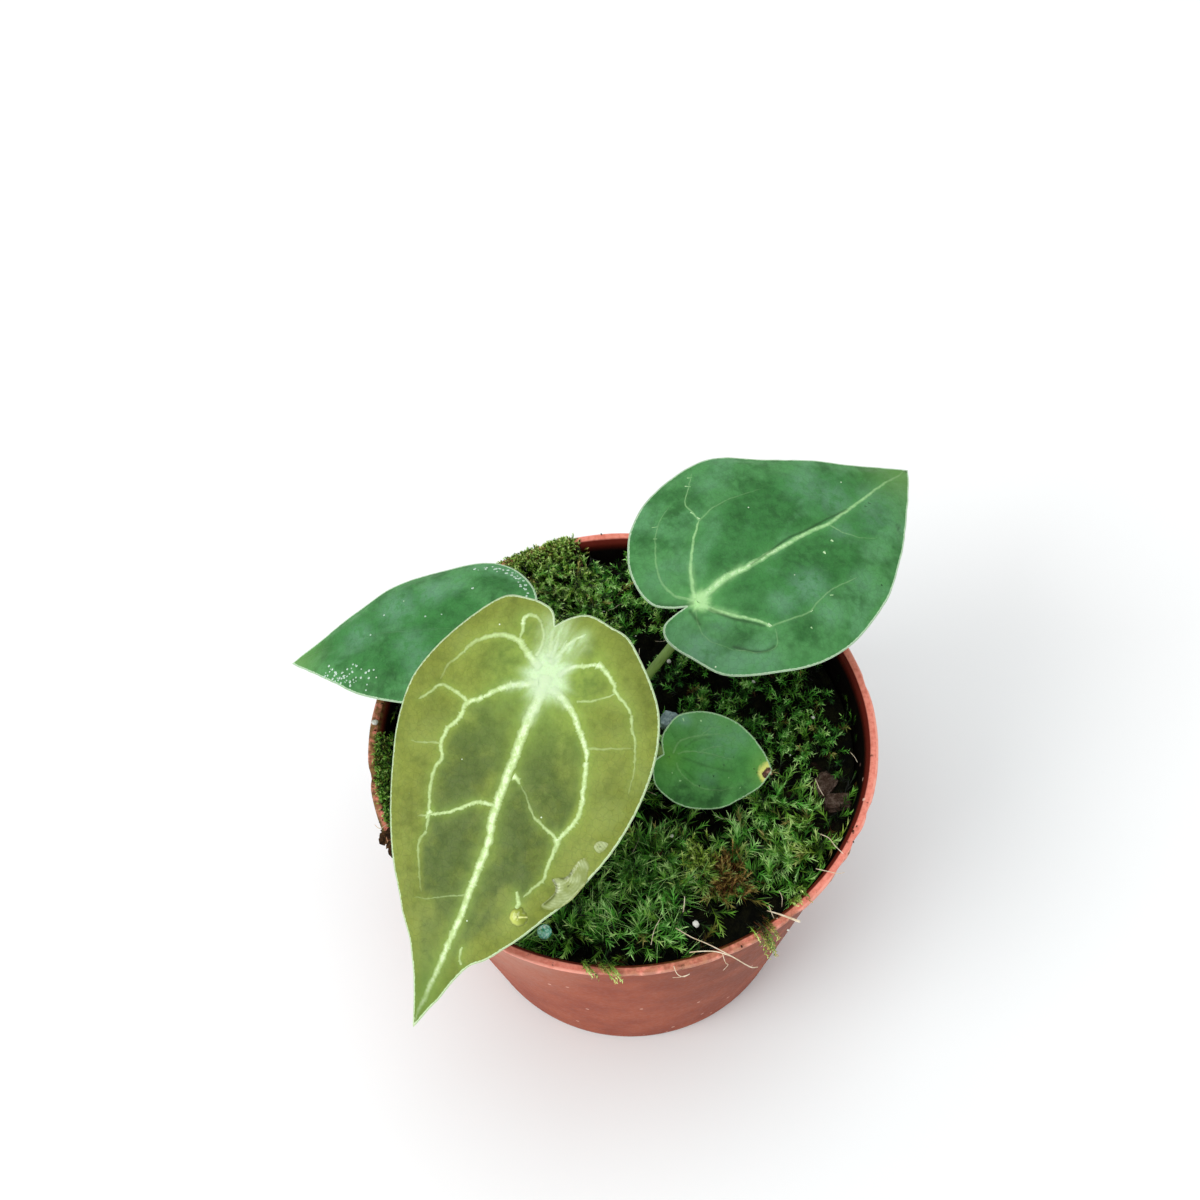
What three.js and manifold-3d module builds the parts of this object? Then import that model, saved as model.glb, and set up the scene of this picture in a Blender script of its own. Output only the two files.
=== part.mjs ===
import * as THREE from 'three';
import { mergeVertices } from 'three/addons/utils/BufferGeometryUtils.js';
import Module from 'manifold-3d';

// A young Anthurium forgetii with four leaves in a round plastic nursery pot, its soil under moss.
// Millimetres, +Z up. The origin is the middle of the pot's underside, where it stands.
// The side that is seen from the front faces -Y.

const wasm = await Module();
wasm.setup();

// Clearance between pieces that touch
const GAP = 0.3;

// Nursery pot: the rim is the driving size
const POT = {
  rimRadius: 60,
  height: 86,
  baseRadius: 43.5,
  wall: 1.2,
  lipWidth: 2.3,
  lipOverhang: 1.5,
  lipThickness: 1,
  padRadius: 12,
  footWidth: 6.5,
  footCorner: 0.8,
  baseRise: 2,
  baseSlope: 1.5,
  drainRadius: 3.4,
  drainRing: 25,
  drains: 8,
  sides: 52,
};
POT.taper = (POT.rimRadius - POT.lipOverhang - POT.baseRadius) / (POT.height - POT.lipThickness);

// Potting mix: its level and the depth of its crumbs
const SOIL = { level: 76.5, crumb: 1.7, crumbWave: 0.55, sides: 36 };

// Moss: height of its canopy, which rises towards the back and lies lower along the +X wall, its
// tufts and its rounded edges
const MOSS = {
  level: 84.4,
  tilt: 0.02,
  sink: 5.2,
  sinkFrom: 26,
  sinkOver: 28,
  tuft: 0.9,
  swell: 0.8,
  edge: 7,
  thinnest: 1.6,
  wallDip: 0.8,
  rings: 10,
  stepDegrees: 5,
};
const SHOOT = { radius: 1.3, length: 6, root: 2.6, perDegree: 0.52, lean: 0.45, spread: 0.8 };

// Short stem with its thick roots, off the middle of the pot
const STEM = { x: -3, y: 5, radius: 5.6, top: 80, shoulder: 68, bottom: 60, sides: 12 };
const ROOT = { radius: 1.4, count: 6, reach: 31, floor: 16, start: 67, sides: 5, steps: 6 };

// Clearance of the plain hole that the stem and roots stand in
const HOLE = GAP + 0.1;

// Leaf stalks: thickness, the ring that they stand on, the sheath at the foot and the knee under the blade
const STALK = {
  radius: 1.15,
  footRing: 3.4,
  sheathRadius: 1.85,
  sheathHeight: 7,
  kneeRadius: 1.5,
  kneeLength: 5,
  sides: 8,
  steps: 14,
};

// Blades: thickness, distance from the end of the stalk, and waves along the edge
const BLADE = { thickness: 0.7, seat: 0.8, waves: 7 };

// Papery bract on the back of the stem: azimuth of its middle, width in degrees and height
const BRACT = { middle: 92, span: 56, height: 13, flare: 1.4, thickness: 0.7 };

// Each leaf: where its stalk meets the blade (hub), its tip, the direction that the blade faces,
// how far it bends, and its edge on either side from the notch to the tip. Edge points are
// [across, along] from the hub, along the midrib, in millimetres.
const LEAVES = [
  {
    name: 'front',
    hub: [-15.3, -12.7, 130],
    tip: [-47.5, -68.8, 89.8],
    facing: { azimuth: 235, elevation: 58 },
    halfWidth: 29,
    bend: { arch: 5, fold: 3, droop: 5, wave: 0.6 },
    stalk: { azimuth: 235, rise: 24, lean: 3, approach: 14 },
    around: 48,
    rings: 5,
    color: 0x8a9438,
    edges: [
      [[3.5, -11], [6, -14], [11.5, -14.5], [17.5, -12.5], [24.5, -2], [28, 9.5], [26.5, 22],
        [21, 34.5], [14.6, 47], [10.4, 53.5], [5.8, 60], [2.7, 66.7], [0, 76.2]],
      [[3.5, -11], [1.5, -13.5], [-2, -15.5], [-7.5, -15], [-14, -13], [-24.5, -2.5], [-28.5, 11],
        [-27.5, 25.5], [-21.5, 40.5], [-13, 54], [-7, 60.5], [-3.5, 69], [0, 76.2]],
    ],
  },
  {
    name: 'right',
    hub: [19.5, 17.2, 112],
    tip: [77, 60.6, 101.9],
    facing: { azimuth: 353, elevation: 79 },
    halfWidth: 29,
    bend: { arch: 5, fold: 3, droop: 5, wave: 0.6 },
    stalk: { azimuth: 27, rise: 16, lean: 5.5, approach: 18 },
    around: 48,
    rings: 5,
    color: 0x2f7a45,
    edges: [
      [[-0.8, -2.5], [-1, -6], [-0.6, -9], [1.5, -10.7], [4.5, -11], [9, -10], [17.5, -6.5], [24, 2],
        [28, 10], [29.4, 20], [27.2, 32], [21.5, 44], [11, 59], [0, 72.8]],
      [[-0.8, -2.5], [-3, -5.5], [-6.5, -8], [-12, -7.8], [-18.2, -5.2], [-24.6, 0.8], [-29.5, 11],
        [-30, 24], [-26.8, 32.7], [-16.9, 45], [-6.1, 60.8], [0, 72.8]],
    ],
  },
  {
    name: 'left',
    hub: [-29.6, 19.4, 105],
    tip: [-79.7, 25.6, 86.6],
    facing: { azimuth: 176, elevation: 70 },
    halfWidth: 20,
    bend: { arch: 4, fold: 2, droop: 4, wave: 0.5 },
    stalk: { azimuth: 150, rise: 15, lean: 4, approach: 12 },
    around: 40,
    rings: 4,
    color: 0x2f7a45,
    edges: [
      [[0, -3], [2, -7], [5, -10], [8.5, -10.3], [13.5, -8], [18, -3.5], [19.8, 2], [19.2, 10.5],
        [17, 19.6], [13, 28], [7.9, 37], [3.4, 44.5], [0, 53.7]],
      [[0, -3], [-2, -7.5], [-5, -10.5], [-9, -10.5], [-14.5, -8], [-18.8, -3], [-20.3, 4], [-19.8, 12],
        [-18.2, 19.5], [-14.8, 29.7], [-10.3, 37.6], [-4.9, 46], [0, 53.7]],
    ],
  },
  {
    name: 'small',
    hub: [10, -13, 95],
    tip: [33.2, -16.7, 92.2],
    facing: { azimuth: 272, elevation: 58 },
    halfWidth: 11,
    bend: { arch: 1.5, fold: 0.8, droop: 1.5, wave: 0.3 },
    stalk: { azimuth: 310, rise: 7, lean: 2, approach: 5 },
    around: 30,
    rings: 3,
    color: 0x3c8a4c,
    edges: [
      [[-0.5, -1], [1.5, -3], [4, -2.8], [6.5, -2], [9, 1], [10.5, 5], [10.5, 9.5], [9.5, 13.5],
        [7, 17.5], [4, 21.3], [0, 23.7]],
      [[-0.5, -1], [-4, -1.8], [-7, -0.7], [-9.7, 1.5], [-11, 6], [-10.8, 10.5], [-9.5, 14.5],
        [-7.5, 17.5], [-4, 21], [0, 23.7]],
    ],
  },
];

// Moss pads: the sector that each covers round the stem, in degrees
const MOSS_PADS = [
  { name: 'moss_front', from: -124, to: -27, seed: 11, color: 0x4f8a2a },
  { name: 'moss_right', from: -15, to: 92, seed: 23, color: 0x3f7a2c },
  { name: 'moss_back', from: 99, to: 163, seed: 37, color: 0x6b8430 },
  { name: 'moss_left', from: 172, to: 229, seed: 41, color: 0x3c6a26 },
];

// Small things on the surface: a fertiliser granule, crumbs of pumice and perlite, and bark chips
const LUMPS = [
  {
    name: 'granule_teal',
    size: [3.2, 3.2, 3],
    place: [-20, -48.2, 84.6],
    turn: 0.4,
    rough: 0,
    color: 0x3fa58c,
  },
  {
    name: 'pumice_blue',
    size: [4.4, 4, 3.2],
    place: [11.6, 2.6, 84.8],
    turn: 1.1,
    rough: 0.2,
    color: 0x8fa6b4,
  },
  {
    name: 'perlite_front',
    size: [1.9, 1.6, 1.4],
    place: [12.9, -48.8, 84.6],
    turn: 2.1,
    rough: 0.16,
    color: 0xe8e8e2,
  },
  {
    name: 'bark_right',
    size: [6, 4.4, 2.2],
    place: [46.8, -13.4, 77.2],
    turn: 0.9,
    rough: 0.14,
    color: 0x5b4436,
  },
  {
    name: 'bark_wall',
    size: [6, 4, 2.2],
    place: [49, -18.4, 77.2],
    turn: 0.1,
    rough: 0.14,
    color: 0x6a5244,
  },
];

const degrees = Math.PI / 180;

// Repeatable random numbers from 0 to 1
function seeded(seed) {
  let state = seed;
  return () => {
    state = (state * 1664525 + 1013904223) % 4294967296;
    return state / 4294967296;
  };
}

function smoothstep(value) {
  return THREE.MathUtils.smoothstep(value, 0, 1);
}

// Level direction at an azimuth in degrees
function direction(azimuth, elevation = 0) {
  const level = Math.cos(elevation * degrees);
  return new THREE.Vector3(
    level * Math.cos(azimuth * degrees),
    level * Math.sin(azimuth * degrees),
    Math.sin(elevation * degrees),
  );
}

// Joined corners, without normals or texture coordinates
function joinCorners(geometry) {
  const plain = geometry.clone();
  plain.deleteAttribute('normal');
  plain.deleteAttribute('uv');
  return mergeVertices(plain, 1e-4);
}

function trianglesOf(geometry) {
  const index = geometry.getIndex().array;
  const triangles = [];
  for (let i = 0; i < index.length; i += 3) {
    const [a, b, c] = [index[i], index[i + 1], index[i + 2]];
    if (a !== b && b !== c && c !== a) {
      triangles.push([a, b, c]);
    }
  }
  return triangles;
}

function solidOf(geometry) {
  const joined = joinCorners(geometry);
  return new wasm.Manifold(new wasm.Mesh({
    numProp: 3,
    vertProperties: new Float32Array(joined.getAttribute('position').array),
    triVerts: new Uint32Array(trianglesOf(joined).flat()),
  }));
}

function geometryOf(solid) {
  const mesh = solid.getMesh();
  const geometry = new THREE.BufferGeometry();
  geometry.setAttribute('position', new THREE.BufferAttribute(new Float32Array(mesh.vertProperties), 3));
  geometry.setIndex(new THREE.BufferAttribute(new Uint32Array(mesh.triVerts), 1));
  return geometry;
}

// Turned profile of [radius, height] points, with its axis along Z
function turned(profile, sides) {
  const points = profile.map(([radius, height]) => new THREE.Vector2(radius, height));
  return new THREE.LatheGeometry(points, sides).rotateX(Math.PI / 2);
}

// Round bar of one thickness along a curve
function bar(path, radius, sides, steps) {
  const section = new THREE.Shape(Array.from({ length: sides }, (_, i) => {
    const angle = (2 * Math.PI * i) / sides;
    return new THREE.Vector2(radius * Math.cos(angle), radius * Math.sin(angle));
  }));
  return new THREE.ExtrudeGeometry(section, { steps, extrudePath: path, bevelEnabled: false });
}

// Edges that only one triangle has, in that triangle's direction
function openEdgesOf(triangles) {
  const open = new Map();
  for (const [a, b, c] of triangles) {
    for (const [p, q] of [[a, b], [b, c], [c, a]]) {
      if (!open.delete(`${q} ${p}`)) {
        open.set(`${p} ${q}`, [p, q]);
      }
    }
  }
  return [...open.values()];
}

function geometryFrom(positions, triangles) {
  const geometry = new THREE.BufferGeometry();
  geometry.setAttribute('position', new THREE.Float32BufferAttribute(positions, 3));
  geometry.setIndex(triangles.flat());
  return geometry;
}

function cornersOf(geometry) {
  const corners = geometry.getAttribute('position');
  return Array.from({ length: corners.count }, (_, i) => [corners.getX(i), corners.getY(i)]);
}

// Closed thin sheet from a flat geometry: its corners go to an upper and an under face, which are
// split into triangles alike, and a strip joins the two along the open edge
function closedSheet(flat, upper, under) {
  const sheet = joinCorners(flat);
  const corners = cornersOf(sheet);
  const count = corners.length;
  const triangles = trianglesOf(sheet);
  const beneath = triangles.map(([a, b, c]) => [count + c, count + b, count + a]);
  const strip = openEdgesOf(triangles).flatMap(([p, q]) => [[q, p, count + p], [q, count + p, count + q]]);
  const positions = [upper, under].flatMap((face) => corners.flatMap(([x, y]) => face(x, y).toArray()));
  return geometryFrom(positions, [...triangles, ...beneath, ...strip]);
}

// Closed mound from a flat geometry: its corners go to the top, its open edge also goes down to the
// foot, and a fan from the middle of the foot closes the level underside
function closedMound(flat, top, foot) {
  const sheet = joinCorners(flat);
  const corners = cornersOf(sheet);
  const triangles = trianglesOf(sheet);
  const points = corners.map(([x, y]) => top(x, y));
  const below = new Map();
  const edges = openEdgesOf(triangles);
  const middle = new THREE.Vector3();
  for (const [p] of edges) {
    below.set(p, points.length);
    points.push(foot(...corners[p]));
    middle.addScaledVector(points.at(-1), 1 / edges.length);
  }
  points.push(middle);
  const strip = edges.flatMap(([p, q]) => [[q, p, below.get(p)], [q, below.get(p), below.get(q)]]);
  const fan = edges.map(([p, q]) => [below.get(q), below.get(p), points.length - 1]);
  return geometryFrom(points.flatMap((point) => point.toArray()), [...triangles, ...strip, ...fan]);
}

// Pot

function potOuterRadius(height) {
  return POT.baseRadius + POT.taper * height;
}

function potInnerRadius(height) {
  return potOuterRadius(height) - POT.wall;
}

// Thin wall with a flat lip, and a base that stands on its middle pad and outer foot
function pot() {
  const footInner = POT.baseRadius - POT.footWidth;
  const floor = POT.wall;
  const underLip = POT.height - POT.lipThickness;
  const body = solidOf(turned([
    [0, 0],
    [POT.padRadius, 0],
    [POT.padRadius + POT.baseSlope, POT.baseRise],
    [footInner - POT.baseSlope, POT.baseRise],
    [footInner, 0],
    [POT.baseRadius - POT.footCorner / 2, 0],
    [potOuterRadius(POT.footCorner), POT.footCorner],
    [potOuterRadius(underLip), underLip],
    [POT.rimRadius, underLip],
    [POT.rimRadius, POT.height],
    [POT.rimRadius - POT.lipWidth, POT.height],
    [potInnerRadius(floor), floor],
    [footInner + floor / 2, floor],
    [footInner - POT.baseSlope + floor / 3, POT.baseRise + floor],
    [POT.padRadius + POT.baseSlope - floor / 3, POT.baseRise + floor],
    [POT.padRadius - floor / 2, floor],
    [0, floor],
  ], POT.sides));
  const drill = new THREE.CylinderGeometry(POT.drainRadius, POT.drainRadius, 4 * floor, 12);
  drill.rotateX(Math.PI / 2);
  let drilled = body;
  for (let i = 0; i < POT.drains; i += 1) {
    const place = direction((360 * i) / POT.drains).multiplyScalar(POT.drainRing);
    place.z = POT.baseRise;
    drilled = drilled.subtract(solidOf(drill.clone().translate(place.x, place.y, place.z)));
  }
  return geometryOf(drilled);
}

// Potting mix

// Bark and coir crumbs as low relief, between 0 and 1
function crumbs(x, y) {
  const wave = SOIL.crumbWave;
  const alongX = Math.sin(wave * x + 1.3 * Math.sin(1.7 * wave * y));
  const alongY = Math.cos(1.3 * wave * y + Math.sin(wave * x));
  return 0.5 + 0.5 * alongX * alongY;
}

// Roots run out and down from the stem; with a clearance they are the holes, a little longer
function roots(clearance) {
  const samples = 25;
  return Array.from({ length: ROOT.count }, (_, i) => {
    const azimuth = (360 * i) / ROOT.count + 14 * Math.sin(5 * i);
    const reach = ROOT.reach * (0.8 + 0.2 * Math.cos(3 * i));
    const out = direction(azimuth);
    const side = direction(azimuth + 90).multiplyScalar(3 * Math.sin(2 * i + 1));
    const drop = STEM.bottom - ROOT.floor - 8 * (i % 2);
    const path = new THREE.CatmullRomCurve3([
      new THREE.Vector3(STEM.x, STEM.y, ROOT.start).addScaledVector(out, ROOT.radius),
      new THREE.Vector3(STEM.x, STEM.y, STEM.bottom).addScaledVector(out, 0.35 * reach).add(side),
      new THREE.Vector3(STEM.x, STEM.y, STEM.bottom - 0.45 * drop).addScaledVector(out, 0.8 * reach),
      new THREE.Vector3(STEM.x, STEM.y, STEM.bottom - drop).addScaledVector(out, reach).sub(side),
    ]).getSpacedPoints(samples - 1);
    const grown = new THREE.CatmullRomCurve3(clearance > 0 ? path : path.slice(0, samples - 1));
    return solidOf(bar(grown, ROOT.radius + clearance, ROOT.sides, ROOT.steps));
  });
}

function stemBody(clearance) {
  const radius = STEM.radius + clearance;
  const top = clearance > 0 ? POT.height : STEM.top;
  const bottom = STEM.bottom - clearance;
  return solidOf(turned([
    [0, bottom],
    [0.6 * radius, bottom + 1],
    [radius, STEM.shoulder],
    [radius, top],
    [0, top],
  ], STEM.sides).translate(STEM.x, STEM.y, 0));
}

// Stem and roots in one piece; with a clearance it is the plain hole that they stand in
function stemAndRoots(clearance = 0) {
  return roots(clearance).reduce((whole, root) => whole.add(root), stemBody(clearance));
}

// Fills the pot up to its uneven surface, which has seats for the bark chips
function substrate() {
  const bottom = POT.baseRise + POT.wall + GAP;
  const edgeRadius = potInnerRadius(SOIL.level) - GAP;
  const rings = [0.94, 0.8, 0.66, 0.52, 0.38, 0.24, 0.12, 0];
  const underside = [[0, bottom], [potInnerRadius(bottom) - GAP, bottom]];
  const surface = [[edgeRadius, SOIL.level], ...rings.map((share) => [edgeRadius * share, SOIL.level])];
  const profile = [...underside, ...surface];
  const geometry = turned(profile, SOIL.sides);
  const corners = geometry.getAttribute('position');
  for (let i = 0; i < corners.count; i += 1) {
    const step = (i % profile.length) - underside.length;
    if (step >= 0) {
      const height = SOIL.level - SOIL.crumb * crumbs(corners.getX(i), corners.getY(i));
      const inwards = step === 0 ? (potInnerRadius(height) - GAP) / edgeRadius : 1;
      corners.setXYZ(i, corners.getX(i) * inwards, corners.getY(i) * inwards, height);
    }
  }
  const filled = solidOf(geometry).subtract(stemAndRoots(HOLE));
  return geometryOf(LUMPS.reduce((whole, item) => whole.subtract(seatOf(item)), filled));
}

// Leaves

function frameOf(leaf) {
  const hub = new THREE.Vector3(...leaf.hub);
  const along = new THREE.Vector3(...leaf.tip).sub(hub);
  const length = along.length();
  along.normalize();
  const up = direction(leaf.facing.azimuth, leaf.facing.elevation);
  up.addScaledVector(along, -up.dot(along)).normalize();
  const across = new THREE.Vector3().crossVectors(along, up);
  return { hub, along, up, across, length };
}

// The blade arches along its midrib, folds up a little beside it and droops towards its edges
function bladeHeight(leaf, length, x, y) {
  const { arch, fold, droop } = leaf.bend;
  const t = y / length;
  const beside = Math.sqrt(x * x + 1) - 1;
  return arch * 4 * t * (1 - t) + (fold * beside) / leaf.halfWidth - droop * (x / leaf.halfWidth) ** 2;
}

// Rings of the edge drawn in towards the hub: the share of a turn starts at the notch
function bladePoint(leaf, frame, edges, turn, share, lift) {
  const side = turn <= 0.5 ? edges[0].getPointAt(2 * turn) : edges[1].getPointAt(2 - 2 * turn);
  const x = side.x * share;
  const y = side.y * share;
  const angle = 2 * Math.PI * turn;
  const wave = leaf.bend.wave * share ** 3 * Math.sin(BLADE.waves * angle) * Math.sin(angle) ** 2;
  const height = bladeHeight(leaf, frame.length, x, y) + wave + lift;
  return frame.hub.clone()
    .addScaledVector(frame.across, x)
    .addScaledVector(frame.along, y)
    .addScaledVector(frame.up, height);
}

function blade(leaf) {
  const frame = frameOf(leaf);
  const edges = leaf.edges.map((points) => (
    new THREE.SplineCurve(points.map(([x, y]) => new THREE.Vector2(x, y)))
  ));
  const face = (lift) => (x, y) => {
    const turn = (Math.atan2(y, x) / (2 * Math.PI) + 1) % 1;
    const share = Math.min(1, Math.hypot(x, y));
    return bladePoint(leaf, frame, edges, turn, share, lift);
  };
  const disc = new THREE.RingGeometry(0, 1, leaf.around, leaf.rings);
  return closedSheet(disc, face(BLADE.thickness / 2), face(-BLADE.thickness / 2));
}

function stalkPath(leaf) {
  const frame = frameOf(leaf);
  const outward = direction(leaf.stalk.azimuth);
  const foot = new THREE.Vector3(STEM.x, STEM.y, STEM.top + GAP + 1).addScaledVector(outward, STALK.footRing);
  const head = frame.hub.clone().addScaledVector(frame.up, -BLADE.thickness / 2 - BLADE.seat);
  const rising = foot.clone().addScaledVector(outward, leaf.stalk.lean);
  rising.z += leaf.stalk.rise;
  const nearing = head.clone().addScaledVector(frame.up, -leaf.stalk.approach);
  return new THREE.CubicBezierCurve3(foot, rising, nearing, head);
}

// Stalk with a short sheath at its foot and a thicker knee just under the blade; with a clearance it
// is the space that it takes
function stalk(leaf, clearance = 0) {
  const path = stalkPath(leaf);
  const foot = path.getPoint(0);
  const sheathFoot = STEM.top + GAP;
  const sheath = turned([
    [0, sheathFoot],
    [STALK.sheathRadius + clearance, sheathFoot],
    [STALK.radius + clearance, sheathFoot + STALK.sheathHeight],
    [0, sheathFoot + STALK.sheathHeight],
  ], STALK.sides).translate(foot.x, foot.y, 0);
  const samples = 40;
  const kneeSamples = Math.round((samples * STALK.kneeLength) / path.getLength()) + 1;
  const knee = new THREE.CatmullRomCurve3(path.getSpacedPoints(samples).slice(-kneeSamples));
  return solidOf(bar(path, STALK.radius + clearance, STALK.sides, STALK.steps))
    .add(solidOf(sheath))
    .add(solidOf(bar(knee, STALK.kneeRadius + clearance, STALK.sides, 2)));
}

// Papery bract left on the back of the stem where a leaf has opened, pointed at its top
function bract() {
  const face = (radius) => (x, y) => {
    const rise = (y + 0.5) * (1 - 1.2 * x * x);
    const out = direction(BRACT.middle + BRACT.span * x * (0.6 - 0.5 * y));
    const height = SOIL.level + GAP + BRACT.height * rise;
    return new THREE.Vector3(STEM.x, STEM.y, height).addScaledVector(out, radius + BRACT.flare * rise ** 2);
  };
  const inner = STEM.radius + GAP;
  return closedSheet(new THREE.PlaneGeometry(1, 1, 6, 4), face(inner + BRACT.thickness), face(inner));
}

// Moss

function mossTop(x, y) {
  return MOSS.level + MOSS.tilt * y - MOSS.sink * smoothstep((x - MOSS.sinkFrom) / MOSS.sinkOver);
}

// Tufts about a centimetre across
function tufts(x, y) {
  return Math.sin(0.55 * x + 1.9 * Math.sin(0.32 * y)) * Math.sin(0.52 * y + 1.7 * Math.sin(0.28 * x));
}

// A pad is a sector between the stem and the sloping pot wall: out runs from the one to the other,
// across along the wall
function padPoint(pad, out, across, height) {
  const uneven = 2 * Math.sin(9 * out + pad.seed);
  const azimuth = pad.from + (pad.to - pad.from) * (0.5 + across) + uneven;
  const atWall = direction(azimuth).multiplyScalar(potInnerRadius(height) - 2 * GAP);
  const atStem = new THREE.Vector3(STEM.x, STEM.y, 0).addScaledVector(direction(azimuth), STEM.radius + 2.6);
  const place = atStem.lerp(atWall, 0.5 + out);
  place.z = height;
  return place;
}

function columnsOf(pad) {
  return Math.round((pad.to - pad.from) / MOSS.stepDegrees);
}

// A pad's top: low and rounded along its sides, tufted over the rest, a little lower at the wall
function padTop(pad, out, across) {
  const place = padPoint(pad, out, across, MOSS.level);
  const fromStem = (0.5 + out) * (POT.rimRadius - 2 * STEM.radius);
  const arc = (pad.to - pad.from) * degrees * (fromStem + 2 * STEM.radius);
  const fromSide = (0.5 - Math.abs(across)) * arc;
  const round = Math.sqrt(Math.min(1, fromStem / MOSS.edge, fromSide / MOSS.edge));
  const columns = columnsOf(pad);
  const peaks = Math.cos(Math.PI * MOSS.rings * (0.5 + out)) * Math.cos(Math.PI * columns * (0.5 + across));
  const dip = MOSS.wallDip * smoothstep((out - 0.4) * MOSS.rings);
  const relief = MOSS.tuft * peaks + MOSS.swell * tufts(place.x, place.y);
  const low = SOIL.level + MOSS.thinnest;
  return padPoint(pad, out, across, low + (mossTop(place.x, place.y) - dip + relief - low) * round);
}

// Cushion that lies on the potting mix
function cushion(pad) {
  return closedMound(
    new THREE.PlaneGeometry(1, 1, MOSS.rings, columnsOf(pad)),
    (out, across) => padTop(pad, out, across),
    (out, across) => padPoint(pad, out, across, SOIL.level + GAP),
  );
}

// One three-sided shoot, its root sunk in the cushion
function shoot(pad, random) {
  const out = SHOOT.spread * (Math.sqrt(random()) - 0.5);
  const across = SHOOT.spread * (random() - 0.5);
  const place = padTop(pad, out, across);
  const length = SHOOT.length * (0.8 + 0.4 * random());
  const spike = new THREE.ConeGeometry(SHOOT.radius, length, 3);
  spike.rotateX(Math.PI / 2).translate(0, 0, length / 2);
  spike.rotateY(SHOOT.lean * (2 * random() - 1)).rotateX(SHOOT.lean * (2 * random() - 1));
  const foot = Math.max(place.z - SHOOT.root, SOIL.level + GAP + SHOOT.lean * SHOOT.radius + GAP);
  return solidOf(spike.translate(place.x, place.y, foot));
}

// Small things on the surface

// Uneven lump: each corner moves in or out by a rule of its own direction
function lump({ size, place, turn, rough, detail = 1 }) {
  const geometry = joinCorners(new THREE.IcosahedronGeometry(1, detail));
  const corners = geometry.getAttribute('position');
  for (let i = 0; i < corners.count; i += 1) {
    const [x, y, z] = [corners.getX(i), corners.getY(i), corners.getZ(i)];
    const bumps = Math.sin(4.1 * x + 2 * turn) * Math.sin(3.7 * y + 1.3) * Math.cos(4.4 * z + turn);
    const swell = 1 + rough * bumps;
    corners.setXYZ(i, x * swell, y * swell, z * swell);
  }
  return geometry.scale(size[0] / 2, size[1] / 2, size[2] / 2)
    .rotateX(0.2 * Math.sin(turn))
    .rotateZ(turn)
    .translate(...place);
}

// The same lump a little larger all round, to cut its seat
function seatOf(item) {
  const grown = item.size.map((side) => side + 2 * HOLE);
  return solidOf(lump({ ...item, size: grown }));
}

function mossPad(pad) {
  const random = seeded(pad.seed);
  let whole = solidOf(cushion(pad));
  const count = Math.round((pad.to - pad.from) * SHOOT.perDegree);
  for (let i = 0; i < count; i += 1) {
    whole = whole.add(shoot(pad, random));
  }
  for (const item of LUMPS) {
    whole = whole.subtract(seatOf(item));
  }
  for (const leaf of LEAVES) {
    whole = whole.subtract(stalk(leaf, 2 * GAP));
  }
  return geometryOf(whole);
}

// Assembly

function finish(color, roughness) {
  return new THREE.MeshStandardMaterial({ color, roughness, metalness: 0 });
}

const plant = new THREE.Group();

function place(name, geometry, color, roughness) {
  const mesh = new THREE.Mesh(geometry, finish(color, roughness));
  mesh.name = name;
  plant.add(mesh);
}

place('pot', pot(), 0xa5503c, 0.5);
place('substrate', substrate(), 0x2e2118, 0.95);
place('stem_with_roots', geometryOf(stemAndRoots()), 0x8b8a5e, 0.8);
place('bract', bract(), 0x9c7a4a, 0.8);
for (const leaf of LEAVES) {
  place(`petiole_${leaf.name}`, geometryOf(stalk(leaf)), 0x8fae62, 0.5);
  place(`blade_${leaf.name}`, blade(leaf), leaf.color, 0.45);
}
for (const pad of MOSS_PADS) {
  place(pad.name, mossPad(pad), pad.color, 0.9);
}
for (const item of LUMPS) {
  place(item.name, lump(item), item.color, 0.8);
}

export default plant;
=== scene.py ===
import math

import bmesh
import bpy
import numpy as np
from mathutils import Matrix, Vector
from mathutils.bvhtree import BVHTree


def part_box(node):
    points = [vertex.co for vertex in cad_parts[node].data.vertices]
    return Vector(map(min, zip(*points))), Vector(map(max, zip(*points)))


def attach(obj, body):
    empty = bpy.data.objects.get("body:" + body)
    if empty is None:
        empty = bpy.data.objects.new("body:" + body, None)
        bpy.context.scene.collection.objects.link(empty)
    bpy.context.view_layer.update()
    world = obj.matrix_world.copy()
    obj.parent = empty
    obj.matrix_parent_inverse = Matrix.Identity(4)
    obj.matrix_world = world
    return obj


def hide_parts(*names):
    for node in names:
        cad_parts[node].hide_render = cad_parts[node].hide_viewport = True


# A young Anthurium forgetii in a plastic nursery pot under moss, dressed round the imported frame.
# Lengths are millimetres until a mesh is written, which is in metres like the frame.

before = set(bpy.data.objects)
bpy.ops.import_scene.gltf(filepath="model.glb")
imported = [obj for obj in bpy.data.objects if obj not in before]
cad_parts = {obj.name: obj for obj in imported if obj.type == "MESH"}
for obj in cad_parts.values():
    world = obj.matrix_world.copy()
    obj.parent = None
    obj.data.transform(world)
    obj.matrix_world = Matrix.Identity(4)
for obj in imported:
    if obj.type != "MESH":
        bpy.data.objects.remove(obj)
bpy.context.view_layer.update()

MM = 0.001

# The camera of the photograph: its place, the directions of its right, up and back, and its lens
CAMERA = {
    "place": (-2.8, -174.6, 379.4),
    "right": (0.9974, -0.0583, -0.0423),
    "up": (0.0720, 0.8068, 0.5864),
    "back": (0.0, -0.5879, 0.8089),
    "lens": 43.16,
}

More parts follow.
